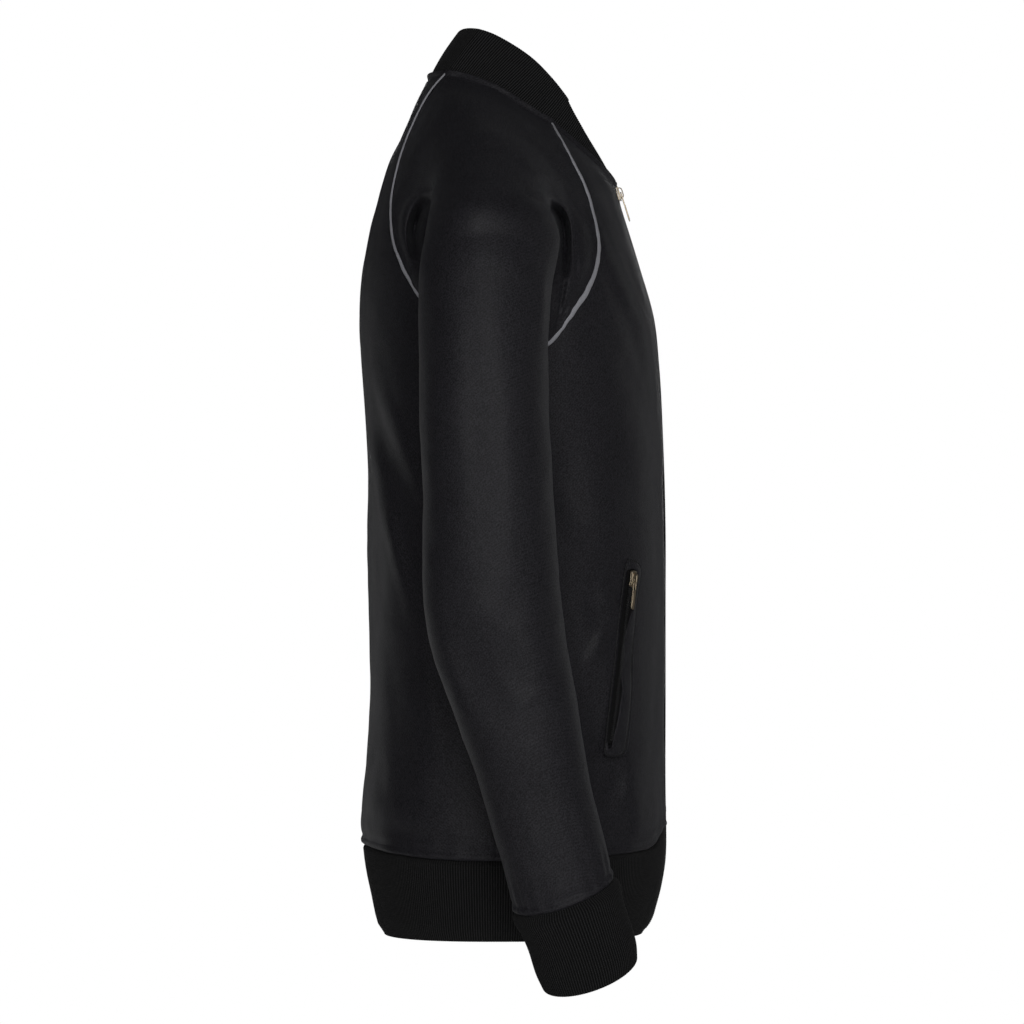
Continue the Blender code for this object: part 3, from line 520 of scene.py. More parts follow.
def unrest(grid, size, rise, seed):
    """Slight unevenness of soft cloth."""
    flat = grid.reshape(-1, 3) / size + vec(seed, 0, 0)
    values = [noise.noise(Vector(point)) for point in flat]
    return rise * np.array(values).reshape(grid.shape[:-1])


# ---------------------------------------------------------------- meshes

def grid_mesh(name, grid, centre, closed_rows=None, ribs=None):
    """Mesh over a grid of points; closed_rows are rings. Its UV map has its own sizes, or the count of ribs."""
    rows, columns = grid.shape[:2]
    closed = np.zeros(rows, bool) if closed_rows is None else closed_rows
    keep = np.ones((rows, columns), bool)
    keep[closed, -1] = False
    number = np.full((rows, columns), -1)
    number[keep] = np.arange(keep.sum())
    number[closed, -1] = number[closed, 0]
    corner = [number[:-1, :-1], number[:-1, 1:], number[1:, 1:], number[1:, :-1]]
    faces = np.stack(corner, axis=-1).reshape(-1, 4)
    across = widths(grid)
    across = across - across[:, columns // 2:columns // 2 + 1]
    if ribs is not None:
        across = np.broadcast_to(ribs * RIB_UV, grid.shape[:2])
    uv = np.stack([across, arc_lengths(grid)], axis=-1)
    loops = np.stack([uv[:-1, :-1], uv[:-1, 1:], uv[1:, 1:], uv[1:, :-1]], axis=2).reshape(-1, 4, 2)
    if np.sum(crossed(grid) * (grid - centre)) > 0:
        faces, loops = faces[:, ::-1], loops[:, ::-1]
    mesh = bpy.data.meshes.new(name)
    mesh.from_pydata((grid[keep] * MM).tolist(), [], faces.tolist())
    layer = mesh.uv_layers.new(name="cloth")
    layer.data.foreach_set("uv", (loops * MM).reshape(-1))
    mesh.shade_smooth()
    return mesh


def placed(name, data):
    """A new object in the scene."""
    made = bpy.data.objects.new(name, data)
    bpy.context.scene.collection.objects.link(made)
    return made


def add_piece(name, mesh, look, body="jacket", nodes=()):
    made = placed(name, mesh)
    mesh.materials.clear()
    mesh.materials.append(look)
    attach(made, body)
    if nodes:
        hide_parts(*nodes)
    return made


def add_cloth(name, grid, centre, look, node, closed_rows=None, ribs=None, inside_out=False):
    mesh = grid_mesh(name, grid, centre, closed_rows, ribs)
    if inside_out:
        mesh.flip_normals()
    return add_piece(name, mesh, look, nodes=[node])


def face_outward(mesh):
    shape = bmesh.new()
    shape.from_mesh(mesh)
    bmesh.ops.recalc_face_normals(shape, faces=shape.faces)
    shape.to_mesh(mesh)
    shape.free()


def tube_mesh(name, rings):
    count, sides = rings.shape[:2]
    number = np.arange(count * sides).reshape(count, sides)
    after = np.roll(number, -1, axis=1)
    faces = np.stack([number[:-1], after[:-1], after[1:], number[1:]], axis=-1).reshape(-1, 4).tolist()
    faces += [number[0, ::-1].tolist(), number[-1].tolist()]
    mesh = bpy.data.meshes.new(name)
    mesh.from_pydata((rings.reshape(-1, 3) * MM).tolist(), [], faces)
    face_outward(mesh)
    mesh.shade_smooth()
    return mesh


# ---------------------------------------------------------------- materials

class Look:
    """A material's node tree. Each call adds nodes and gives the output of the last."""

    def __init__(self, name):
        self.made = bpy.data.materials.new(name)
        self.made.use_nodes = True
        self.nodes, self.links = self.made.node_tree.nodes, self.made.node_tree.links

    def give(self, node, inputs):
        """Sets a node's inputs: numbers and colours as they are, other nodes' outputs as links."""
        for key, value in inputs.items():
            if isinstance(value, bpy.types.NodeSocket):
                self.links.new(value, node.inputs[key])
            else:
                node.inputs[key].default_value = value

    def node(self, kind, output, inputs, **settings):
        made = self.nodes.new("ShaderNode" + kind)
        for key, value in settings.items():
            setattr(made, key, value)
        self.give(made, inputs)
        return made.outputs[output]

    def surface(self, inputs):
        self.give(self.nodes["Principled BSDF"], inputs)
        return self.made

    def along_cloth(self, across, along):
        uv = self.node("UVMap", "UV", {}, uv_map="cloth")
        return self.node("Mapping", "Vector", {"Scale": (1 / (across * MM), 1 / (along * MM), 1), "Vector": uv})

    def grain(self, size, detail=2.0, roughness=0.5):
        place = self.node("TexCoord", "Object", {})
        place = self.node("Mapping", "Vector", {"Scale": (1 / (size * MM),) * 3, "Vector": place})
        return self.node("TexNoise", "Fac", {"Scale": 1.0, "Detail": detail, "Roughness": roughness,
                                             "Vector": place})

    def waves(self, vector, direction="X"):
        """One full wave for each unit of the vector."""
        return self.node("TexWave", "Fac", {"Scale": math.pi / 10, "Vector": vector}, wave_type="BANDS",
                         bands_direction=direction)

    def math(self, operation, first, second):
        return self.node("Math", 0, {0: first, 1: second}, operation=operation)

    def times(self, first, second):
        return self.math("MULTIPLY", first, second)

    def plus(self, first, second):
        return self.math("ADD", first, second)

    def spread(self, value, low, high, start=0.0, end=1.0):
        return self.node("MapRange", "Result", {"From Min": start, "From Max": end,
                                                "To Min": low, "To Max": high, "Value": value})

    def tinted(self, factor, dark, light):
        return self.node("Mix", "Result", {"A": (*dark, 1), "B": (*light, 1), "Factor": factor},
                         data_type="RGBA")

    def bumped(self, height, distance, strength=1.0):
        return self.node("Bump", "Normal", {"Strength": strength, "Distance": distance * MM, "Height": height})


def shell_material():
    """Fine warp knit: narrow wales on the bias, a satin sheen, slightly uneven colour."""
    look = Look("shell_knit_look")
    courses = look.waves(look.along_cloth(1.35, 1.35), "DIAGONAL")
    grain = look.spread(look.grain(1.05, 1.0), 0.0, 1.0, 0.34, 0.66)
    cloudy = look.grain(30)
    tone = look.plus(look.times(grain, 0.6), look.plus(look.times(cloudy, 0.15), look.times(courses, 0.15)))
    return look.surface({
        "Base Color": look.tinted(tone, (0.0050, 0.0048, 0.0060), (0.0335, 0.0322, 0.0378)),
        "Roughness": look.spread(cloudy, 0.47, 0.57),
        "Normal": look.bumped(look.plus(look.times(courses, 0.2), grain), 0.12),
        "Specular IOR Level": 0.17, "Sheen Weight": 0.03, "Sheen Roughness": 0.45,
        "Sheen Tint": (0.90, 0.93, 1.0, 1)})


def rib_material(name, crest_tone):
    """Rib knit: loops along each rib; its furrows are painted shade, near black."""
    look = Look(name)
    place = look.along_cloth(RIB_UV, 1.5)
    ribs, loops = look.waves(place), look.waves(place, "Y")
    grain = look.grain(0.8, 3.0, 0.7)
    light = look.plus(look.times(loops, 0.35), look.times(grain, 1.1))
    # Colour falls to near black in each furrow between ribs: painted shade, on top of the ribs' real relief.
    furrow_shade_mask = look.times(look.math("POWER", ribs, 2.6), light)
    return look.surface({
        # The dark colour is the furrows' painted shade; the light one is the knit's own tone on the crests.
        "Base Color": look.tinted(furrow_shade_mask, (0.0006, 0.0006, 0.0007), (crest_tone, crest_tone, 1.04 * crest_tone)),
        "Normal": look.bumped(look.plus(look.times(loops, 0.6), grain), 0.16),
        "Roughness": 0.85, "Specular IOR Level": 0.15, "Sheen Weight": 0.04, "Sheen Roughness": 0.6})


def piping_material():
    """Light grey bias-cut satin over a cord."""
    look = Look("piping_look")
    grain = look.grain(0.7, 3.0, 0.65)
    return look.surface({"Base Color": look.tinted(grain, (0.20, 0.20, 0.222), (0.42, 0.42, 0.455)),
                         "Normal": look.bumped(grain, 0.12), "Roughness": 0.6, "Sheen Weight": 0.15})


def tape_material():
    look = Look("zip_tape_look")
    weave = look.times(look.waves(look.along_cloth(0.7, 0.7)), look.waves(look.along_cloth(0.6, 0.6), "Y"))
    return look.surface({"Base Color": look.tinted(look.grain(0.6), (0.0020, 0.0020, 0.0022),
                                                   (0.0110, 0.0110, 0.0114)),
                         "Normal": look.bumped(weave, 0.14), "Roughness": 0.8, "Specular IOR Level": 0.2})


def plastic_material():
    """Black moulded zip teeth."""
    look = Look("zip_teeth_look")
    grain = look.grain(0.9)
    return look.surface({"Base Color": look.tinted(grain, (0.004, 0.004, 0.0044), (0.014, 0.014, 0.015)),
                         "Roughness": look.spread(grain, 0.30, 0.48)})


def thread_material():
    look = Look("thread_look")
    return look.surface({"Base Color": look.tinted(look.grain(0.4), (0.0016, 0.0016, 0.0018),
                                                   (0.007, 0.007, 0.0076)),
                         "Roughness": 0.6})


def metal_material():
    """Warm pale brass with fine wear."""
    look = Look("zip_metal_look")
    grain = look.grain(1.6, 4.0, 0.6)
    return look.surface({"Base Color": look.tinted(grain, (0.26, 0.21, 0.145), (0.50, 0.42, 0.31)),
                         "Roughness": look.spread(grain, 0.24, 0.42),
                         "Normal": look.bumped(grain, 0.05, 0.5), "Metallic": 1.0})


# ---------------------------------------------------------------- shell panels

def panel_grid(seam, centre_turn, neck_height, scoop, side):
    """Half of the front or back: rows from the waist to the neckline, columns from centre to side."""
    share = crowded(HALF_COLUMNS, 0.03, 6)[None, :]
    lift = 1 - crowded(LOWER_ROWS, 0.016, 14)[::-1][:-1, None]
    centre = mix(waist_seam(0.0), UNDERARM, lift)
    turn = mix(centre_turn(centre), 90.0, share)
    low = body_frame(turn, mix(waist_seam(turn), UNDERARM, lift), side)[0]

    lift = crowded(UPPER_ROWS, 0.045, 20)[:, None]
    seam_turn, seam_height = seam_place(seam, lift)
    centre_height = mix(UNDERARM, neck_height, lift)
    start = centre_turn(centre_height)

    def rows(share):
        turn = mix(start, seam_turn, share)
        dip = scoop * lift ** 3 * np.sin(math.pi * share)
        return body_frame(turn, mix(centre_height, seam_height, share) - dip, side)[0]

    whole = rows(share)
    length = widths(whole)[:, -1:]
    gap = mix(0.1, PANEL_GAP, ramp(0, 0.05, lift))
    high = rows(share * (1 - gap / length))
    return np.concatenate([low, high])


def front_grid(side):
    return panel_grid(FRONT_SEAM, lambda height: edge_turn(height, FRONT_EDGE), NECK_FRONT, NECK_SCOOP, side)


def back_grid(side):
    return panel_grid(BACK_SEAM, lambda height: 180.0 + 0 * height, NECK_BACK, 0.0, side)


def panel_middle(grid):
    middle = np.zeros_like(grid)
    middle[..., 1] = BODY_MIDDLE
    middle[..., 2] = grid[..., 2]
    return middle


def ring_middle(grid):
    """The centre of each row, for every point in it."""
    return np.repeat(grid.mean(axis=1, keepdims=True), grid.shape[1], axis=1)


def body_turns(grid):
    """Rough turn of each point round the body, for folds out of sight."""
    return np.degrees(np.arctan2(np.abs(grid[..., 0]) / 165, -(grid[..., 1] - BODY_MIDDLE) / 125))


NECK_BAND, NECK_BAND_RISE = 4.4, 3.0    # turned seam along the neckline, stitched down


def seam_band(distance, along):
    """Turned seam: a wedge raised at the seam, down to an uneven stitched furrow."""
    width = NECK_BAND + 0.5 * wavy(along, 4.1, 2, 13)
    return (NECK_BAND_RISE * ramp(-0.1, 0.7, distance) * (1 - ramp(0.7, width, distance))
            - 0.5 * bump((distance - width - 0.5) / 1.5) + 0.25 * bump((distance - width - 2.4) / 1.8))


def edge_lip(distance, along):
    """Turned edge at a rib's seam: a rounded lip, then soft gathers."""
    uneven = 1 + 0.15 * wavy(along, 5.3, 3, 31)
    return (1.0 * bump((distance - 2.6) / 3.4) * uneven - 1.2 * (1 - ramp(-0.2, 1.2, distance))
            - 0.45 * bump((distance - 7.5) / 3.5))


def dress_panel(grid, side, creases, seam_edge):
    """Adds creases, seam furrows and unevenness to half a panel."""
    middle = panel_middle(grid)
    across = widths(grid)
    near_seam = ramp(0, 9, across[:, -1:] - across)
    grid = towards_eye(grid, middle, side, creases_at(creases, seen_from_side(grid)) * near_seam
                       * CREASE_SHARE[side])
    rise = folds_at(HIDDEN_FOLDS, body_turns(grid), grid[..., 2])
    rise = rise + unrest(grid, 42, 0.9, 3 * side) + unrest(grid, 17, 0.25, 9 * side)
    across = widths(grid)
    from_side = across[:, -1:] - across
    puckers = 0.22 * wavy(grid[..., 2], 2.1, 2, 13) * bump(from_side / 9)
    rise = rise + puckers - 0.8 * (1 - ramp(0, 2.4, from_side)) - 0.25 * bump((from_side - 3) / 5)
    down = arc_lengths(grid)
    from_neck = down[-1:] - down
    rise = rise + seam_band(from_neck, across)
    gathers = wavy(across, 5.3, 3, 31) * np.sin(across / 19 + 1)
    rise = rise + 0.6 * gathers * bump(down / 34) + edge_lip(down, across) + 0.9 * bump((down - 15) / 12)
    if seam_edge:
        edge = across
        rise = rise - 1.3 * (1 - ramp(0, 1.6, edge)) - 0.35 * bump((edge - 5.5) / 1.4)
        rise = rise + 0.16 * wavy(grid[..., 2], 2.6, 1.7, 17) * bump(edge / 11)
    return moved(grid, middle, rise)


def build_panels(look):
    pieces = []
    for side, tag in SIDES:
        grid = dress_panel(front_grid(side), side, FRONT_CREASES, True)
        pieces.append(add_cloth("front_cloth_" + tag, grid, panel_middle(grid), look, "front_" + tag))
    halves = [dress_panel(back_grid(side), side, BACK_CREASES, False) for side, tag in SIDES]
    joined = (halves[0][:, :1] + halves[1][:, :1]) / 2
    joined[..., 0] = 0
    whole = np.concatenate([halves[1][:, :0:-1], joined, halves[0][:, 1:]], axis=1)
    return pieces, add_cloth("back_cloth", whole, panel_middle(whole), look, "back")


# ---------------------------------------------------------------- sleeves

ONE_EDGE = crowded(SLEEVE_COLUMNS, 0.025, 10)
SLEEVE_SHARES = np.concatenate([(1 - ONE_EDGE[::-1])[:11], ONE_EDGE[ONE_EDGE > 0.026]])
CAP_LEVELS = crowded(CAP_ROWS, 0.022, 16)[:0:-1]
ARM_LEVELS = 100 * crowded(ARM_ROWS, 0.014, 14)


def bend(start, start_way, end, end_way, t):
    turn = np.arccos(np.clip(np.dot(unit(start_way), unit(end_way)), -1, 1))
    turn = min(max(turn, 0.01), MOST_TURN)
    swell = 4 * math.tan(turn / 4) / math.sin(turn)
    gap = end - start
    return hermite(start, start_way * abs(np.dot(gap, start_way)) * swell,
                   end, end_way * abs(np.dot(gap, end_way)) * swell, t)


def sleeve_row(knots, ways, tuck):
    shares = SLEEVE_SHARES
    row = np.zeros((len(shares), 3))
    for piece in range(4):
        inside = (shares >= piece / 4) & (shares <= (piece + 1) / 4)
        t = (shares[inside] * 4 - piece)[:, None]
        row[inside] = bend(knots[piece], ways[piece], knots[piece + 1], ways[piece + 1], t)
    row[:, 1] -= tuck * bump((shares - TUCK_BACK) / (2 * TUCK_WIDTH))
    row[:, 1] += tuck * bump((shares - TUCK_FRONT) / (2 * TUCK_WIDTH))
    return row


def cap_row(along, side):
    row = row_at(CAP, along)
    back = vec(side * row.back_x, row.back_y, row.back_z)
    out = vec(side * row.out_x, row.out_y, row.out_z)
    front = vec(side * row.front_x, row.front_y, row.front_z)
    follow, close = ramp(FOLLOW_FROM, FOLLOW_FULL, along), 1 - ramp(0, FOLLOW_FROM, along)
    ends, end_ways = [], []
    for rows, target, sign in ((BACK_SEAM, back, 1), (FRONT_SEAM, front, -1)):
        end, normal, across = seam_frame(rows, along, side)
        toward_side = body_frame(*seam_place(rows, along), side)[2]
        way = mix(unit(target - end), toward_side, follow)
        end_ways.append(unit(mix(way, vec(0, sign, 0), close)))
        ends.append(end + unit(mix(across, normal, close)) * mix(PANEL_GAP, UNDERARM_GAP, close))
    sideways = vec(side, 0, 0)
    over = ramp(TUBE_TO, OVER_FROM, along)
    back_way = unit(mix(sideways, unit(out - ends[0]), over))
    front_way = unit(mix(-sideways, unit(ends[1] - out), over))
    return sleeve_row((ends[0], back, out, front, ends[1]),
                      (end_ways[0], back_way, unit(front - back), front_way, -end_ways[1]), row.tuck)


def arm_row(along, side):
    row = row_at(ARM, along)
    middle_x = (row.inner_x + row.outer_x) / 2
    middle_y, middle_z = (row.back_y + row.front_y) / 2, (row.back_z + row.front_z) / 2
    back = vec(side * middle_x, row.back_y, row.back_z)
    front = vec(side * middle_x, row.front_y, row.front_z)
    level = 1 - ramp(0, 20, along)
    out = vec(side * row.outer_x, middle_y, middle_z + OUTER_LIFT * level)
    inner = vec(side * row.inner_x, mix(middle_y, BODY_MIDDLE, level), mix(middle_z, UNDERARM, level))
    forward = unit(front - back)
    tilt = np.cross(vec(1, 0, 0), forward) * CUFF[0].tilt * ramp(TILT_FROM, 100, along)
    out = out + tilt * (row.outer_x - row.inner_x) / 2
    inner = inner - tilt * (row.outer_x - row.inner_x) / 2
    sideways = unit(vec(side, 0, 0) + tilt)
    inner_way = unit(mix(-forward, vec(0, 1, 0), level))
    return sleeve_row((inner, back, out, front, inner),
                      (inner_way, sideways, forward, -sideways, inner_way), 0.0)


def build_sleeves(look):
    pieces = []
    for side, tag in SIDES:
        rows = [cap_row(along, side) for along in CAP_LEVELS] + [arm_row(along, side) for along in ARM_LEVELS]
        caps = len(CAP_LEVELS)
        closed = np.arange(len(rows)) >= caps
        grid = blurred(softened(np.array(rows), caps, 24, 6), 3.0, closed)
        shoulder = np.concatenate([ramp(0.36, 0.58, CAP_LEVELS), 0 * ARM_LEVELS])[:, None, None]
        grid = mix(grid, blurred(grid, 15.0, closed), shoulder)
        middle = ring_middle(grid)
        seen = seen_from_side(grid)
        scale = CREASE_SHARE[side]
        across = widths(grid)
        from_seam = np.minimum(across, across[:, -1:] - across)
        capped = np.clip((caps - np.arange(len(rows))[:, None]) / 12, 0, 1)
        away = mix(1.0, ramp(1, 12, from_seam), capped)
        beside = ramp(0.755, 0.80, SLEEVE_SHARES) + 1 - ramp(0.20, 0.245, SLEEVE_SHARES)
        grid = towards_eye(grid, middle, side, scale * away * (
            creases_at(SLEEVE_CREASES, seen) + creases_at(ARMPIT_GAPS, seen) * beside[None, :]))
        grid = towards_eye(grid, middle, -side,
                           0.8 * scale * creases_at(SLEEVE_CREASES[ARMPIT_CREASES:], seen, (6.0, -18.0)))
        rise = unrest(grid, 36, 1.0, 5 * side) + unrest(grid, 15, 0.3, 7 * side)
        down = arc_lengths(grid)
        from_cuff = down[-1:] - down
        rise = rise + seam_band(down, across) + edge_lip(from_cuff, across)
        rounds = np.sin(2 * math.pi * (17 * SLEEVE_SHARES + 0.35 * np.sin(2 * math.pi * 3 * SLEEVE_SHARES)))
        rise = rise + 0.35 * rounds[None, :] * bump((from_cuff - 12) / 24)
        rise = rise - 0.7 * (1 - ramp(0, 2.2, from_seam)) * capped
        rise = rise + 0.3 * wavy(down, 2.4, 2, 15) * bump(from_seam / 9) * capped
        pieces.append(add_cloth("sleeve_cloth_" + tag, moved(grid, middle, rise), middle, look, "sleeve_" + tag,
                                closed))
    return pieces


# ---------------------------------------------------------------- rib pieces

def rib_wave(ribs):
    """Rounded ribs with narrow furrows."""
    return np.abs(np.sin(math.pi * ribs)) ** 0.7 - 0.5


def doubled_edge(steps=5):
    """Half circle over a folded edge: (share of the radius beyond it, share of the thickness inward)."""
    angles = np.linspace(0, math.pi, steps + 2)[1:-1]
    return [(math.sin(angle), (1 - math.cos(angle)) / 2) for angle in angles]


def neckline(side):
    return np.concatenate([front_grid(side)[-1], cap_row(1.0, side)[::-1], back_grid(side)[-1][::-1]])


def build_collar(look):
    line = neckline(RIGHT)
    half_ribs = round(arc_lengths(line)[-1] / COLLAR_PITCH)
    half = resampled(line, half_ribs * RIB_STEPS + 1)
    mirror = half * vec(-1, 1, 1)
    base = np.concatenate([half, mirror[-2::-1]])
    count = len(half)
    share = np.linspace(0, 100, count)
    share = np.concatenate([share, share[-2::-1]])
    sides = np.concatenate([np.full(count, RIGHT), np.full(count - 1, LEFT)])
    even = curve_through([[getattr(row, column) for column in Rise._fields] for row in COLLAR_RISE])
    shares = np.linspace(0, 100, 201)
    spans = np.array([np.interp(shares, even[:, 0], even[:, column]) for column in (1, 2, 3)])
    spans = blurred(np.stack([spans], axis=-1), 8.0, np.zeros(3, bool))[..., 0]
    inward, forward, up = (np.interp(share, shares, span) for span in spans)
    inward = inward * np.where(np.abs(base[:, 0]) < 1e-6, 0, 1)
    rise = np.stack([-sides * inward, -forward, up], axis=-1)
    tall = np.linalg.norm(rise, axis=-1)
    belly = unit(np.stack([base[:, 0], base[:, 1] - BODY_MIDDLE, 0 * tall], axis=-1))
    run = np.gradient(base, axis=0)
    normal = unit(np.cross(run, rise))
    normal = normal * np.sign(np.sum(normal * belly, axis=-1))[:, None]
    radius = np.minimum(RIB_THICK / 2, 0.45 * tall)
    ribs = np.arange(len(base)) / RIB_STEPS
    wave = rib_wave(ribs)
    full = np.clip(tall / 12, 0.3, 1) * COLLAR_RELIEF

    levels = [(s, 0, 0.0) for s in np.linspace(-0.02, 1, 12)]
    levels += [(1, out, deep) for out, deep in doubled_edge()]
    levels += [(s, 0, 1.0) for s in np.linspace(1, -0.02, 6)]
    rows = []
    for s, out, deep in levels:
        straight = np.maximum(tall - radius, 0.2) * s
        bow = COLLAR_BOW * tall / 40 * math.sin(math.pi * min(max(s, 0), 1))
        facing = 1 - 2 * deep
        relief = wave * full * facing + 0.5 * full * math.sin(math.pi * deep)
        point = (base + unit(rise) * (straight + radius * out)[:, None] + belly * bow[:, None]
                 - normal * (2 * radius * deep)[:, None] + normal * relief[:, None])
        rows.append(point)
    grid = np.array(rows)
    centre = np.broadcast_to(base - normal * RIB_THICK / 2 + rise / 2, grid.shape)
    return add_cloth("collar_cloth", grid, centre, look, "collar", ribs=ribs)


def band_point(turn, drop, side):
    back = smooth(BAND, "drop", "back", drop)
    inset = mix(smooth(BAND, "drop", "front", drop), back, ramp(20, 120, turn))
    seam = waist_seam(turn)
    foot = mix(seam, WAIST_SEAM_CENTRE, drop / BAND[-1].drop)
    rim = bare_body(turn, seam, side)
    middle = np.stack([0 * seam, 0 * seam + BODY_MIDDLE, rim[..., 2]], axis=-1)
    point = rim + unit(middle - rim) * np.asarray(inset)[..., None]
    point[..., 2] = foot - drop
    return point


def build_waistband(look):
    deepest = BAND[-1].drop
    turns = np.linspace(float(edge_turn(waist_seam(0.0), FRONT_EDGE)), 180, 1500)
    line = band_point(turns, np.zeros_like(turns), RIGHT)
    lengths = arc_lengths(line)
    at = np.interp(np.linspace(0, lengths[-1], round(lengths[-1] / HEM_PITCH) * RIB_STEPS + 1), lengths, turns)
    ribs = np.arange(2 * len(at) - 1) / RIB_STEPS
    wave = rib_wave(ribs)
    outside = np.concatenate([np.linspace(-4, 5, 10)[:-1], np.linspace(5, deepest - RIB_THICK / 2, 10)])
    count = len(outside)
    levels = [(drop, 0, 0.0) for drop in outside]
    levels += [(deepest - RIB_THICK / 2, out, deep) for out, deep in doubled_edge(4)]
    levels += [(drop, 0, 1.0) for drop in np.linspace(deepest - RIB_THICK / 2, -4, INSIDE_ROWS)]
    grid = []
    for drop, out, deep in levels:
        right = band_point(at, drop + 0 * at, RIGHT)
        right[:, 0] = np.where(at < 90, np.minimum(right[:, 0], -FRONT_EDGE), right[:, 0])
        right[0, 0] = -FRONT_EDGE
        grid.append(np.concatenate([right, right[-2::-1] * vec(-1, 1, 1)]))
    grid = np.array(grid)
    outer = grid[:count]
    normals = unit(crossed(outer))
    away = outer - vec(0, BODY_MIDDLE, 0)
    away[..., 2] = 0
    if np.sum(normals * away) < 0:
        normals = -normals
    foot = normals[-1]
    tucked = ramp(6, 26, np.concatenate([at, at[-2::-1]]))
    rows = []
    for number, (drop, out, deep) in enumerate(levels):
        inside = number - (len(levels) - INSIDE_ROWS)
        rising = max(inside, 0) / (INSIDE_ROWS - 1)
        normal = normals[number] if number < count else mix(foot, normals[0], rising)
        fade = np.clip((drop + 1.5) / 5, 0.35, 1)
        relief = RIB_RELIEF * fade * (wave * (1 - 2 * deep) + 0.5 * math.sin(math.pi * deep))
        down = vec(0, 0, -1) * (RIB_THICK / 2 * out)
        sunk = RIB_SUNK * (1 - ramp(0, RIB_SUNK_TO, drop)) * (1 - deep) * tucked
        rows.append(grid[number] + down + normal * (relief - RIB_THICK * deep - sunk)[:, None])
    rows = np.array(rows)
    centre = panel_middle(rows)
    seen = grid_normals(rows[:count], centre[:count])[..., 1] * (rows[:count, :, 1] - BODY_MIDDLE)
    return add_cloth("hem_rib_cloth", rows, centre, look, "hem_rib", ribs=ribs,
                     inside_out=np.sum(seen) < 0)


def build_cuffs(look):
    pieces = []
    end = ARM[-1]
    for side, tag in SIDES:
        back = vec(side * (end.inner_x + end.outer_x) / 2, end.back_y, end.back_z)
        front = vec(back[0], end.front_y, end.front_z)
        forward = unit(front - back)
        axis = np.cross(vec(1, 0, 0), forward)
        centre = (back + front) / 2
        half_depth, half_width = np.linalg.norm(front - back) / 2, (end.outer_x - end.inner_x) / 2
        around = math.pi * (half_depth + half_width)
        ribs = np.arange(round(around / CUFF_PITCH) * RIB_STEPS + 1) / RIB_STEPS
        angle = 2 * math.pi * ribs / ribs[-1]
        wave = rib_wave(ribs)
        length, radius = CUFF[-1].down, RIB_THICK / 2
        levels = [(CUFF_LINING_TO, 0, 1.0), (radius, 0, 1.0)]
        levels += [(radius, -out, deep) for out, deep in doubled_edge()[::-1]]
        outer = slice(len(levels), len(levels) + 19)
        levels += [(down, 0, 0.0) for down in np.linspace(radius, length - radius, 19)]
        levels += [(length - radius, out, deep) for out, deep in doubled_edge()]
        levels += [(down, 0, 1.0) for down in np.linspace(length - radius, CUFF_LINING_TO, INSIDE_ROWS)]
        rows = []
        for down, out, deep in levels:
            _, wider, tilt, swing = row_at(CUFF, down)
            wider -= RIB_THICK * deep + RIB_SUNK * (1 - ramp(0, RIB_SUNK_TO, down)) * (1 - deep)
            relief = RIB_RELIEF * (wave * (1 - 2 * deep) + 0.4 * math.sin(math.pi * deep))
            sag = (0.8 * bump((down - 22) / 20) * np.sin(2 * angle + 0.7)
                   + 0.5 * bump((down - 46) / 14) * np.sin(3 * angle + 2))
            half = (half_depth + wider + relief + sag, half_width + wider + relief + sag)
            aside = (-half[1] * np.cos(angle))[:, None]
            across = vec(side, 0, 0) * aside + axis * tilt * aside
            fore = -forward * (half[0] * np.sin(angle))[:, None]
            along = axis * (down + radius * out + 0.2) + forward * swing
            rows.append(centre + along + across + fore)
        grid = np.array(rows)
        middle = ring_middle(grid)
        away = grid - middle
        inside_out = (np.sum(crossed(grid[outer]) * away[outer]) > 0) != (np.sum(crossed(grid) * away) > 0)
        pieces.append(add_cloth("cuff_cloth_" + tag, grid, middle, look, "cuff_" + tag,
                                np.ones(len(grid), bool), ribs, inside_out))
    return pieces


# ---------------------------------------------------------------- piping, zips and stitches

Ribbon = namedtuple("Ribbon", "along half_width")   # share of the seam from the underarm to the neckline
FRONT_RIBBON = [Ribbon(0, 1.0), Ribbon(0.1, 1.9), Ribbon(0.25, 2.2), Ribbon(0.45, 2.0), Ribbon(0.7, 1.7),
                Ribbon(0.9, 1.6), Ribbon(1, 1.5)]
BACK_RIBBON = [Ribbon(0, 1.0), Ribbon(0.1, 1.7), Ribbon(0.3, 1.5), Ribbon(0.6, 1.15), Ribbon(1, 1.0)]
RIBBON_RISE = 1.1


def build_piping(look):
    for rows, ribbon, place in ((FRONT_SEAM, FRONT_RIBBON, "front"), (BACK_SEAM, BACK_RIBBON, "back")):
        for side, tag in SIDES:
            along = np.linspace(0.02, 0.995, 260)
            point, normal, across = seam_frame(rows, along, side)
            wander = 0.2 * np.sin(along * 61 + 2 * np.sin(along * 17))
            point = point + normal * (PIPING_PROUD - 0.1) + across * wander[:, None]
            uneven = 1 + 0.07 * np.sin(along * 83 + 3 * np.sin(along * 23))
            wide = smooth(ribbon, "along", "half_width", along) * uneven
            angles = np.linspace(0, 2 * math.pi, 16, endpoint=False)
            up = np.sign(np.cos(angles)) * np.abs(np.cos(angles)) ** 0.8 * RIBBON_RISE
            up = np.where(up < 0, 0.2 * up, up)
            rings = (point[:, None] + normal[:, None] * (up[None, :, None] * uneven[:, None, None])
                     + across[:, None] * (np.sin(angles)[None, :, None] * wide[:, None, None]))
            name = f"piping_{place}_{tag}"
            add_piece(name + "_cord", tube_mesh(name, rings), look, nodes=[name])


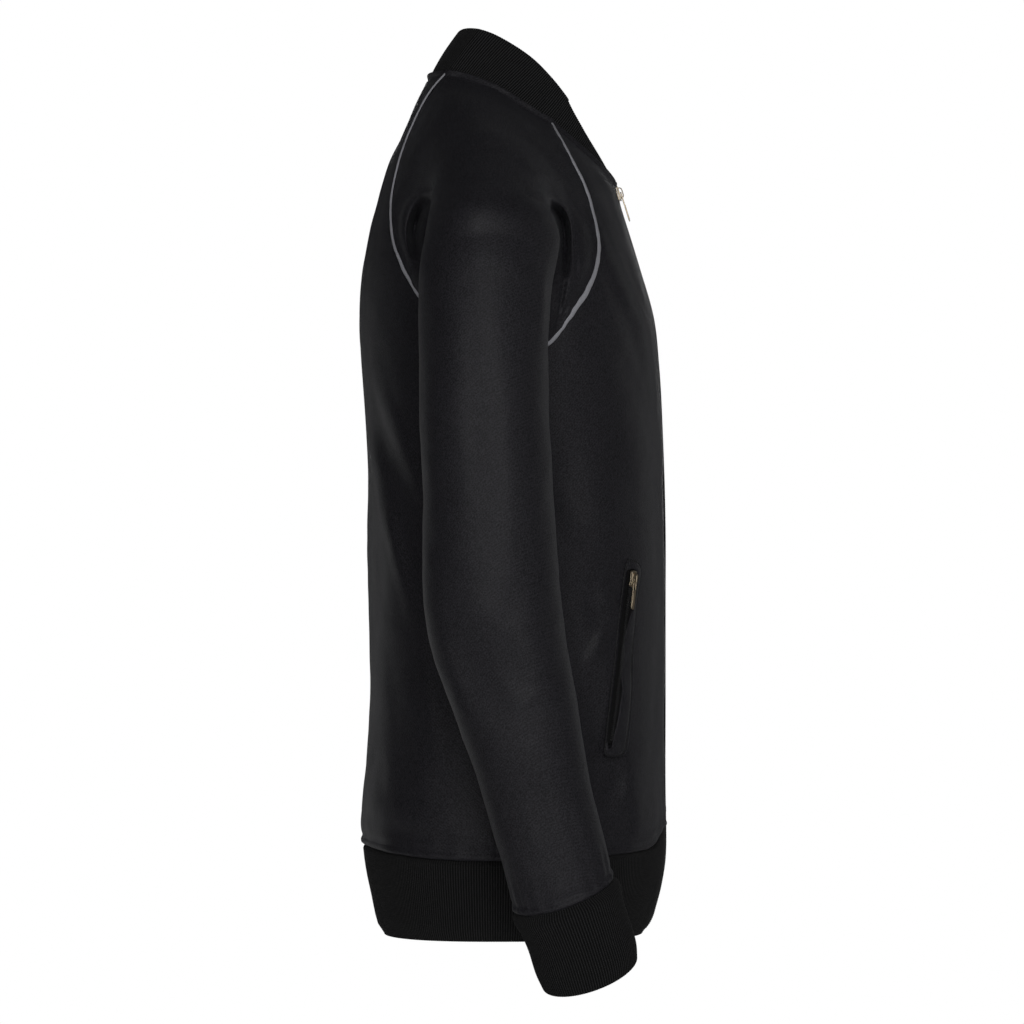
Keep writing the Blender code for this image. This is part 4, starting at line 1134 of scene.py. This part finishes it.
def front_line(distance, side, lift):
    """Line down the closed front, from the neckline to the waistband's foot, off the cloth by lift."""
    heights = np.linspace(NECK_FRONT - 1, waist_seam(0.0), 160)
    upper = bare_body(edge_turn(heights, distance), heights, side)
    upper[:, 0] = side * distance
    drops = np.linspace(1.5, BAND[-1].drop - 0.5, 24)
    lower = band_point(edge_turn(waist_seam(0.0) + 0 * drops, distance), drops, side)
    lower[:, 0] = side * distance
    line = resampled(np.concatenate([upper, lower]), 400)
    run = unit(np.gradient(line, axis=0))
    out = unit(np.cross(vec(1, 0, 0), run))
    out = out * np.sign(-out[:, 1:2])
    return line + out * lift, run, out


def stamp(parts, places, rights, ups, outs):
    """Copies of a small shape (points, faces) at many places, as one mesh's points and faces."""
    points, faces = parts
    points = np.asarray(points, float)
    spots = (places[:, None] + rights[:, None] * points[None, :, :1] + ups[:, None] * points[None, :, 1:2]
             + outs[:, None] * points[None, :, 2:3])
    offsets = np.arange(len(places)) * len(points)
    copied = [[offset + corner for corner in face] for offset in offsets for face in faces]
    return spots.reshape(-1, 3), copied


def mesh_from(name, stamped, outward=False):
    """One mesh from groups of (points, faces)."""
    points, faces = [], []
    for more, copied in stamped:
        faces += [[len(points) + corner for corner in face] for face in copied]
        points += more.tolist()
    mesh = bpy.data.meshes.new(name)
    mesh.from_pydata((np.asarray(points) * MM).tolist(), [], faces)
    mesh.shade_smooth()
    if outward:
        face_outward(mesh)
    return mesh


def rounded_block(width, length, height, cut):
    """Block with cut edges, centred in width and length and standing on its base."""
    shape = bmesh.new()
    bmesh.ops.create_cube(shape, size=1.0)
    bmesh.ops.scale(shape, vec=(width, length, height), verts=shape.verts)
    bmesh.ops.translate(shape, vec=(0, 0, height / 2), verts=shape.verts)
    bmesh.ops.bevel(shape, geom=list(shape.edges), offset=cut, segments=1, affect="EDGES")
    bmesh.ops.recalc_face_normals(shape, faces=shape.faces)
    shape.verts.index_update()
    parts = [tuple(v.co) for v in shape.verts], [[v.index for v in face.verts] for face in shape.faces]
    shape.free()
    return parts


STITCH_LENGTH, STITCH_PITCH, STITCH_WIDTH, STITCH_SUNK = 2.5, 2.8, 1.0, 0.25


def stitches(name, lines, look):
    """Rows of thread stitches: lines are (points, outward normals)."""
    shape = rounded_block(STITCH_WIDTH, STITCH_LENGTH, STITCH_WIDTH, STITCH_WIDTH * 0.3)
    stamped = []
    for line, normals in lines:
        lengths = arc_lengths(line)
        at = np.arange(STITCH_PITCH / 2, lengths[-1], STITCH_PITCH)
        place, out = picked(at, lengths, line), unit(picked(at, lengths, normals))
        run = unit(picked(at + 0.8, lengths, line) - picked(at - 0.8, lengths, line))
        stamped.append(stamp(shape, place - out * STITCH_SUNK, unit(np.cross(run, out)), run, out))
    add_piece(name, mesh_from(name, stamped), look)


# Width, length, height and cut edge of a tooth; its pitch; its place beside the zip's middle and off the cloth
FRONT_TOOTH, FRONT_TOOTH_PITCH, FRONT_TOOTH_ASIDE, FRONT_TOOTH_LIFT = (2.5, 1.1, 1.5, 0.28), 1.8, 1.05, -0.35
POCKET_TOOTH, POCKET_TOOTH_PITCH, POCKET_TOOTH_ASIDE, POCKET_TOOTH_LIFT = (2.2, 1.0, 1.0, 0.22), 1.76, 0.95, 0.9
TAPE_TUCK = 3.0                       # of the front zip's tape under the front's edge


def build_front_zip(tape_look, teeth_look):
    pieces = []
    tooth = rounded_block(*FRONT_TOOTH)
    for side, tag in SIDES:
        inner = front_line(TAPE_MIDDLE, side, -0.1)[0]
        outer = front_line(TAPE_EDGE, side, -0.3)[0]
        under = front_line(TAPE_EDGE + TAPE_TUCK, side, -1.8)[0]
        grid = np.array([mix(inner, outer, share) for share in np.linspace(0, 1, 6)] + [under])
        pieces.append(add_cloth("front_tape_" + tag, grid, panel_middle(grid), tape_look, "front_zip_" + tag))
        line, run, out = front_line(FRONT_TOOTH_ASIDE, side, FRONT_TOOTH_LIFT)
        lengths = arc_lengths(line)
        offset = 0.0 if side == RIGHT else FRONT_TOOTH_PITCH / 2
        at = np.arange(12 + offset, lengths[-1] - 3, FRONT_TOOTH_PITCH)
        place, run, out = (picked(at, lengths, table) for table in (line, run, out))
        rights = np.broadcast_to(vec(side, 0, 0), place.shape)
        mesh = mesh_from("front_teeth_" + tag, [stamp(tooth, place, rights, run, out)], True)
        add_piece("front_teeth_" + tag, mesh, teeth_look)
    return pieces


# Round the opening, from the top's rear corner: inner and outer edges of the welt, down the panel from the
# tape's top end and across it towards the back
Welt = namedtuple("Welt", "inner_down inner_back outer_down outer_back")
WELT_RING = [
    Welt(2.0, 6.6, -6.2, 7.4), Welt(1.2, 3.4, -7.0, 3.6), Welt(0.8, -0.6, -6.2, -3.6),
    Welt(1.6, -5.0, -4.4, -9.4), Welt(4.6, -8.0, -1.2, -14.6), Welt(9.0, -8.8, 3.6, -17.2),
    Welt(15.0, -8.8, 11.4, -16.4),
    Welt(22.0, -8.2, 20.0, -15.2), Welt(30.0, -7.0, 28.5, -14.4), Welt(38.5, -4.6, 38.5, -15.4),
    Welt(49.0, -1.6, 48.0, -17.0), Welt(64.0, 0.8, 62.0, -18.6), Welt(76.0, 0.6, 75.0, -20.0),
    Welt(87.0, -2.2, 88.0, -21.6), Welt(99.5, -5.4, 101.0, -23.0), Welt(110.0, -4.6, 113.0, -24.0),
    Welt(124.0, -2.8, 129.0, -24.6), Welt(134.0, -1.0, 141.0, -24.4), Welt(139.5, -0.6, 146.8, -19.0),
    Welt(141.0, 1.6, 147.6, -9.0), Welt(141.0, 3.4, 147.0, 1.0), Welt(139.0, 5.0, 144.5, 7.0),
    Welt(130.0, 5.6, 131.0, 7.4), Welt(112.0, 6.4, 112.0, 8.2), Welt(91.0, 7.0, 91.0, 8.8),
    Welt(73.0, 7.2, 73.0, 9.0), Welt(55.0, 7.4, 55.0, 9.2), Welt(38.0, 7.4, 38.0, 9.2),
    Welt(22.0, 7.6, 22.0, 9.4), Welt(8.0, 7.6, 4.0, 9.6),
]


STITCH_ACROSS = 0.84
# From the opening to the welt's outer edge: share of the way, and height above the front
WELT_PROFILE = [
    (0.0, 1.2), (0.0, 1.7), (0.01, 2.1), (0.03, 2.4), (0.07, 2.6), (0.14, 2.7), (0.26, 2.6), (0.42, 2.4),
    (0.58, 2.2), (0.7, 2.0), (0.78, 1.7), (STITCH_ACROSS, 0.6), (0.89, 1.3), (0.94, 1.7), (0.98, 1.4),
    (1.0, 0.8), (1.0, 0.1),
]


def pocket_line(share, aside, lift, side):
    share, aside, lift = np.broadcast_arrays(np.asarray(share, float), aside, lift)
    turn = mix(POCKET_TOP_TURN, POCKET_FOOT_TURN, share)
    height = mix(POCKET_TOP, POCKET_FOOT, share)
    place, normal = body_frame(turn + aside / TURN_SPAN, height, side)[:2]
    return place + normal * np.asarray(lift)[..., None], normal


def build_pockets(shell_look, tape_look, teeth_look, thread_look):
    tapes, welts, seams = [], [], []
    half = POCKET_TAPE_WIDTH / 2
    tooth = rounded_block(*POCKET_TOOTH)
    for side, tag in SIDES:
        share = np.linspace(0, 1, 90)[:, None]
        aside = np.linspace(half + 0.6, -half - 0.6, 9)[None, :]
        dish = 1.3 - 0.5 * np.cos(aside / half * math.pi / 2)
        grid = pocket_line(share, aside, dish, side)[0]
        tapes.append(add_cloth("pocket_tape_" + tag, grid, panel_middle(grid), tape_look, "pocket_zip_" + tag))

        knots = np.array(WELT_RING)
        ring = curve_through(np.concatenate([knots[-2:], knots, knots[:3]]), 9)[18:-18]
        ring[-1] = ring[0]
        deep = POCKET_TOP - POCKET_FOOT
        rows = []
        low = 1 - 0.7 * ramp(-5, 5, ring[:, 1]) * ramp(-4, 6, ring[:, 0]) * (1 - ramp(132, 141, ring[:, 0]))
        for across, lift in WELT_PROFILE:
            spot = mix(ring[:, :2], ring[:, 2:], across)
            wave = 0.4 * (1 - across) * wavy(ring[:, 0], 6.5, 2, 15)
            wave = wave * ramp(-1, -9, ring[:, 3])
            rows.append(pocket_line(spot[:, 0] / deep, spot[:, 1], (lift + wave) * low, side)[0])
        grid = np.array(rows)
        welts.append(add_cloth("pocket_welt_cloth_" + tag, grid, panel_middle(grid), shell_look,
                               "pocket_welt_" + tag, np.ones(len(rows), bool)))

        at = np.arange(0.09, 0.985, POCKET_TOOTH_PITCH / deep)
        stamped = []
        for sign in (-1, 1):
            aside = sign * POCKET_TOOTH_ASIDE
            spots, normals = pocket_line(at + sign * 0.003, aside, POCKET_TOOTH_LIFT, side)
            ahead = pocket_line(at + 0.01, aside, POCKET_TOOTH_LIFT, side)[0]
            run = unit(ahead - spots)
            stamped.append(stamp(tooth, spots, unit(np.cross(run, normals)), run, normals))
        add_piece("pocket_teeth_" + tag, mesh_from("pocket_teeth_" + tag, stamped, True), teeth_look)

        spot = mix(ring[:, :2], ring[:, 2:], STITCH_ACROSS)
        seams.append(pocket_line(spot[:, 0] / deep, spot[:, 1], 0.9 * low, side))
    stitches("pocket_stitches", seams, thread_look)
    return tapes, welts


# ---------------------------------------------------------------- sliders and pulls

def hardware_frame(place, normal, downward):
    normal, downward = Vector(normal), Vector(downward)
    up = -(downward - normal * downward.dot(normal)).normalized()
    across = up.cross(normal).normalized()
    return Matrix.Translation(Vector(place) * MM) @ Matrix((across, up, normal)).transposed().to_4x4()


def plate_mesh(name, outlines, thick, bevel):
    """Plate with rounded edges from closed outlines, the later ones being windows."""
    curve = bpy.data.curves.new(name, "CURVE")
    curve.dimensions = "2D"
    curve.fill_mode = "BOTH"
    curve.extrude = (thick / 2 - bevel) * MM
    curve.bevel_depth = bevel * MM
    curve.bevel_resolution = 2
    curve.offset = -bevel * MM
    for outline in outlines:
        spline = curve.splines.new("POLY")
        spline.points.add(len(outline) - 1)
        spline.use_cyclic_u = True
        for knot, (x, y) in zip(spline.points, outline):
            knot.co = (x * MM, y * MM, 0, 1)
    holder = placed(name, curve)
    bpy.context.view_layer.update()
    mesh = bpy.data.meshes.new_from_object(holder.evaluated_get(bpy.context.evaluated_depsgraph_get()))
    bpy.data.objects.remove(holder)
    bpy.data.curves.remove(curve)
    mesh.shade_smooth()
    return mesh


def round_outline(width, low, high, corner, steps=4, waist=0.0):
    """Rectangle with round corners, drawn in by waist on both sides half way."""
    half = width / 2
    points = []
    for cx, cy, start in ((half - corner, low + corner, -90), (half - corner, high - corner, 0),
                          (-half + corner, high - corner, 90), (-half + corner, low + corner, 180)):
        for step in range(steps + 1):
            angle = math.radians(start + 90 * step / steps)
            points.append((cx + corner * math.cos(angle), cy + corner * math.sin(angle)))
        if waist:
            side = 1 if start == -90 else -1 if start == 90 else 0
            if side:
                points += [(side * (half - waist * share), mix(low, high, 0.5 + side * (at - 0.5)))
                           for at, share in ((0.3, 0.7), (0.5, 1.0), (0.7, 0.7))]
    return points


def joined_mesh(name, parts):
    """One mesh from (mesh, matrix) pairs."""
    shape = bmesh.new()
    for mesh, place in parts:
        start = len(shape.verts)
        shape.from_mesh(mesh)
        shape.verts.ensure_lookup_table()
        bmesh.ops.transform(shape, matrix=place, verts=shape.verts[start:])
    made = bpy.data.meshes.new(name)
    shape.to_mesh(made)
    shape.free()
    made.shade_smooth()
    return made


def slider_parts():
    """Slider: upper and lower shields joined in the middle, with an arched bridge."""
    shield = round_outline(SLIDER_WIDTH, -SLIDER_LENGTH / 2, SLIDER_LENGTH / 2, 1.8, waist=0.7)
    upper = plate_mesh("shield", [shield], 1.1, 0.35)
    rim = plate_mesh("rim", [round_outline(SLIDER_WIDTH - 2.2, -SLIDER_LENGTH / 2 + 1.6,
                                           SLIDER_LENGTH / 2 - 1.6, 1.2)], 0.5, 0.2)
    parts = [(upper, Matrix.Translation((0, 0, 0.55 * MM))),
             (upper, Matrix.Translation((0, 0, (SLIDER_THICK - 0.65) * MM))),
             (rim, Matrix.Translation((0, 0, (SLIDER_THICK - 0.05) * MM)))]
    count, sides = 25, 10
    t = np.linspace(0, math.pi, count)
    reach, top = BRIDGE_LENGTH / 2 - BRIDGE_THICK / 2, TUNNEL_HEIGHT + BRIDGE_THICK / 2
    line = np.stack([0 * t, -reach * np.sign(np.cos(t)) * np.abs(np.cos(t)) ** 0.5,
                     SLIDER_THICK - 0.6 + (top + 0.6) * np.sin(t) ** 0.45], axis=-1)
    run = unit(np.gradient(line, axis=0))
    side = np.broadcast_to(vec(1, 0, 0), line.shape)
    out = np.cross(side, run)
    angles = np.linspace(0, 2 * math.pi, sides, endpoint=False)
    square = lambda value: np.sign(value) * np.abs(value) ** 0.6
    rings = (line[:, None] + side[:, None] * (square(np.cos(angles))[None, :, None] * BRIDGE_WIDTH / 2)
             + out[:, None] * (square(np.sin(angles))[None, :, None] * BRIDGE_THICK / 2))
    parts.append((tube_mesh("bridge", rings), Matrix.Identity(4)))
    return parts


def pull_parts():
    top = PULL_BAR / 2
    plate = round_outline(PULL_WIDTH, top - PULL_LENGTH, top, 1.0)
    inner = PULL_WIDTH - 2 * PULL_SIDE
    window = round_outline(inner, -top - PULL_WINDOW, -top, 0.8)
    slot = round_outline(inner, top - PULL_LENGTH + 1.4, -top - PULL_WINDOW - 1.3, 0.9)
    body = plate_mesh("pull", [plate, window], PULL_THICK, 0.28)
    ridge = plate_mesh("ridge", [slot], 0.5, 0.18)
    return [(body, Matrix.Identity(4)), (ridge, Matrix.Translation((0, 0, (PULL_THICK / 2 - 0.05) * MM)))]


def build_hardware(look):
    places = []
    for side, tag in SIDES:
        share = (SLIDER_LENGTH / 2 + SLIDER_BELOW_END) / (POCKET_TOP - POCKET_FOOT)
        lift = 2 * SLIDER_LIFT + POCKET_TAPE_THICK
        place = pocket_line(share, 0, lift, side)[0]
        lower = pocket_line(share * 2, 0, lift, side)[0]
        normal = body_frame(mix(POCKET_TOP_TURN, POCKET_FOOT_TURN, share), place[2], side)[1]
        places.append(("pocket_slider_" + tag, "pocket_pull_" + tag, place, normal, lower - place))
    above, below = (bare_body(0.0, FRONT_SLIDER_AT + sign * SLIDER_LENGTH / 2, RIGHT) for sign in (1, -1))
    slope = unit(below - above)
    normal = unit(vec(0, slope[2], -slope[1]))
    places.append(("front_slider", "front_pull", (above + below) / 2 + normal * SLIDER_LIFT, normal, slope))
    for slider, pull, place, normal, down in places:
        turn = hardware_frame(place, normal, down)
        mesh = joined_mesh(slider + "_metal", [(mesh, turn @ at) for mesh, at in slider_parts()])
        add_piece(slider + "_metal", mesh, look, nodes=[slider])
        pivot = turn @ Matrix.Translation((0, 0, (SLIDER_THICK + TUNNEL_HEIGHT / 2) * MM))
        mesh = joined_mesh(pull + "_metal", [(mesh, pivot @ at) for mesh, at in pull_parts()])
        add_piece(pull + "_metal", mesh, look, body=pull, nodes=[pull])


# ---------------------------------------------------------------- camera, light and floor

PICTURE_SCALE = 0.8                   # millimetres on the centre plane for one 1024th of the frame
SENSOR = 36.0


def build_camera():
    data = bpy.data.cameras.new("camera")
    data.sensor_width = SENSOR
    data.lens = SENSOR * EYE_OUT / (1024 * PICTURE_SCALE)
    data.clip_end = 100
    camera = placed("camera", data)
    camera.location = (-EYE_OUT * MM, EYE_Y * MM, EYE_Z * MM)
    camera.rotation_euler = (math.radians(90), 0, math.radians(-90))
    bpy.context.scene.camera = camera


# Degrees round the jacket from the camera, positive towards the back, and up. far is the share of its power
# that its mirror lamp on the far side has; a lamp without one is left out of highlights.
Lamp = namedtuple("Lamp", "name round up wide tall power far")
LAMPS = [
    Lamp("high", -12, 40, 1.0, 1.6, 2, 0.6),
    Lamp("middle", -46, 4, 1.0, 1.6, 4, 0.6),
    Lamp("low", -2, 12, 1.0, 1.6, 26, 0.6),
    Lamp("back_low", 36, -14, 1.0, 1.6, 5, 0.6),
    Lamp("front_side", -98, 12, 1.0, 1.6, 1, 0.6),
    Lamp("far_back", 146, 12, 1.2, 1.6, 4, 0),
    Lamp("far_front", -142, 12, 1.2, 1.6, 6, 0),
]
LAMP_AWAY = 2.6
AIM = (0, -0.02, -0.34)
AMBIENT = 0.015


def build_lights():
    for lamp in LAMPS:
        for side, tag, share in ((RIGHT, "near", 1), (LEFT, "far", lamp.far)):
            if not share:
                continue
            data = bpy.data.lights.new(lamp.name + "_" + tag, "AREA")
            data.shape = "RECTANGLE"
            data.size, data.size_y = lamp.wide, lamp.tall
            data.energy = lamp.power * share
            turn, up = math.radians(lamp.round), math.radians(lamp.up)
            way = Vector((side * math.cos(turn) * math.cos(up), math.sin(turn) * math.cos(up), math.sin(up)))
            made = placed(data.name, data)
            made.location = Vector(AIM) + way * LAMP_AWAY
            made.rotation_euler = way.to_track_quat("Z", "Y").to_euler()
            made.visible_glossy = bool(lamp.far)
    world = bpy.data.worlds.new("studio")
    world.use_nodes = True
    nodes, links = world.node_tree.nodes, world.node_tree.links
    path = nodes.new("ShaderNodeLightPath")
    background = nodes["Background"]
    background.inputs["Color"].default_value = (1, 1, 1, 1)
    strength = nodes.new("ShaderNodeMapRange")
    strength.inputs["To Min"].default_value = AMBIENT
    strength.inputs["To Max"].default_value = 1.0
    links.new(path.outputs["Is Camera Ray"], strength.inputs["Value"])
    links.new(strength.outputs["Result"], background.inputs["Strength"])
    bpy.context.scene.world = world
    bpy.context.scene.view_settings.view_transform = "Standard"


FLOOR_AT, FLOOR_RADIUS = -1420.0, 3000.0


def build_floor():
    shape = bmesh.new()
    bmesh.ops.create_circle(shape, cap_ends=True, segments=96, radius=FLOOR_RADIUS * MM)
    bmesh.ops.translate(shape, vec=(0, 0, FLOOR_AT * MM), verts=shape.verts)
    mesh = bpy.data.meshes.new("floor")
    shape.to_mesh(mesh)
    shape.free()
    look = Look("floor_look")
    seen = look.node("LightPath", "Is Camera Ray", {})
    made = look.surface({"Roughness": 0.9, "Specular IOR Level": 0.0, "Emission Color": (1, 1, 1, 1),
                         "Base Color": look.spread(seen, 0.85, 0.25),
                         "Emission Strength": look.spread(seen, 0.0, 0.84)})
    mesh.materials.append(made)
    floor = placed("floor", mesh)


# ---------------------------------------------------------------- the jacket

SHELL_LOOK, PIPING_LOOK = shell_material(), piping_material()
# The hem and cuffs wear the collar's rib knit with darker crests: a shaded copy of one material, painted shade.
COLLAR_LOOK, SHADED_RIB_LOOK = rib_material("collar_knit_look", 0.040), rib_material("rib_knit_shaded_look", 0.025)
TAPE_LOOK, TEETH_LOOK = tape_material(), plastic_material()
THREAD_LOOK, METAL_LOOK = thread_material(), metal_material()

build_camera()
build_lights()
build_floor()
FRONTS, BACK = build_panels(SHELL_LOOK)
SLEEVES = build_sleeves(SHELL_LOOK)
COLLAR = build_collar(COLLAR_LOOK)
WAISTBAND = build_waistband(SHADED_RIB_LOOK)
CUFFS = build_cuffs(SHADED_RIB_LOOK)
build_piping(PIPING_LOOK)
FRONT_TAPES = build_front_zip(TAPE_LOOK, TEETH_LOOK)
POCKET_TAPES, WELTS = build_pockets(SHELL_LOOK, TAPE_LOOK, TEETH_LOOK, THREAD_LOOK)
build_hardware(METAL_LOOK)
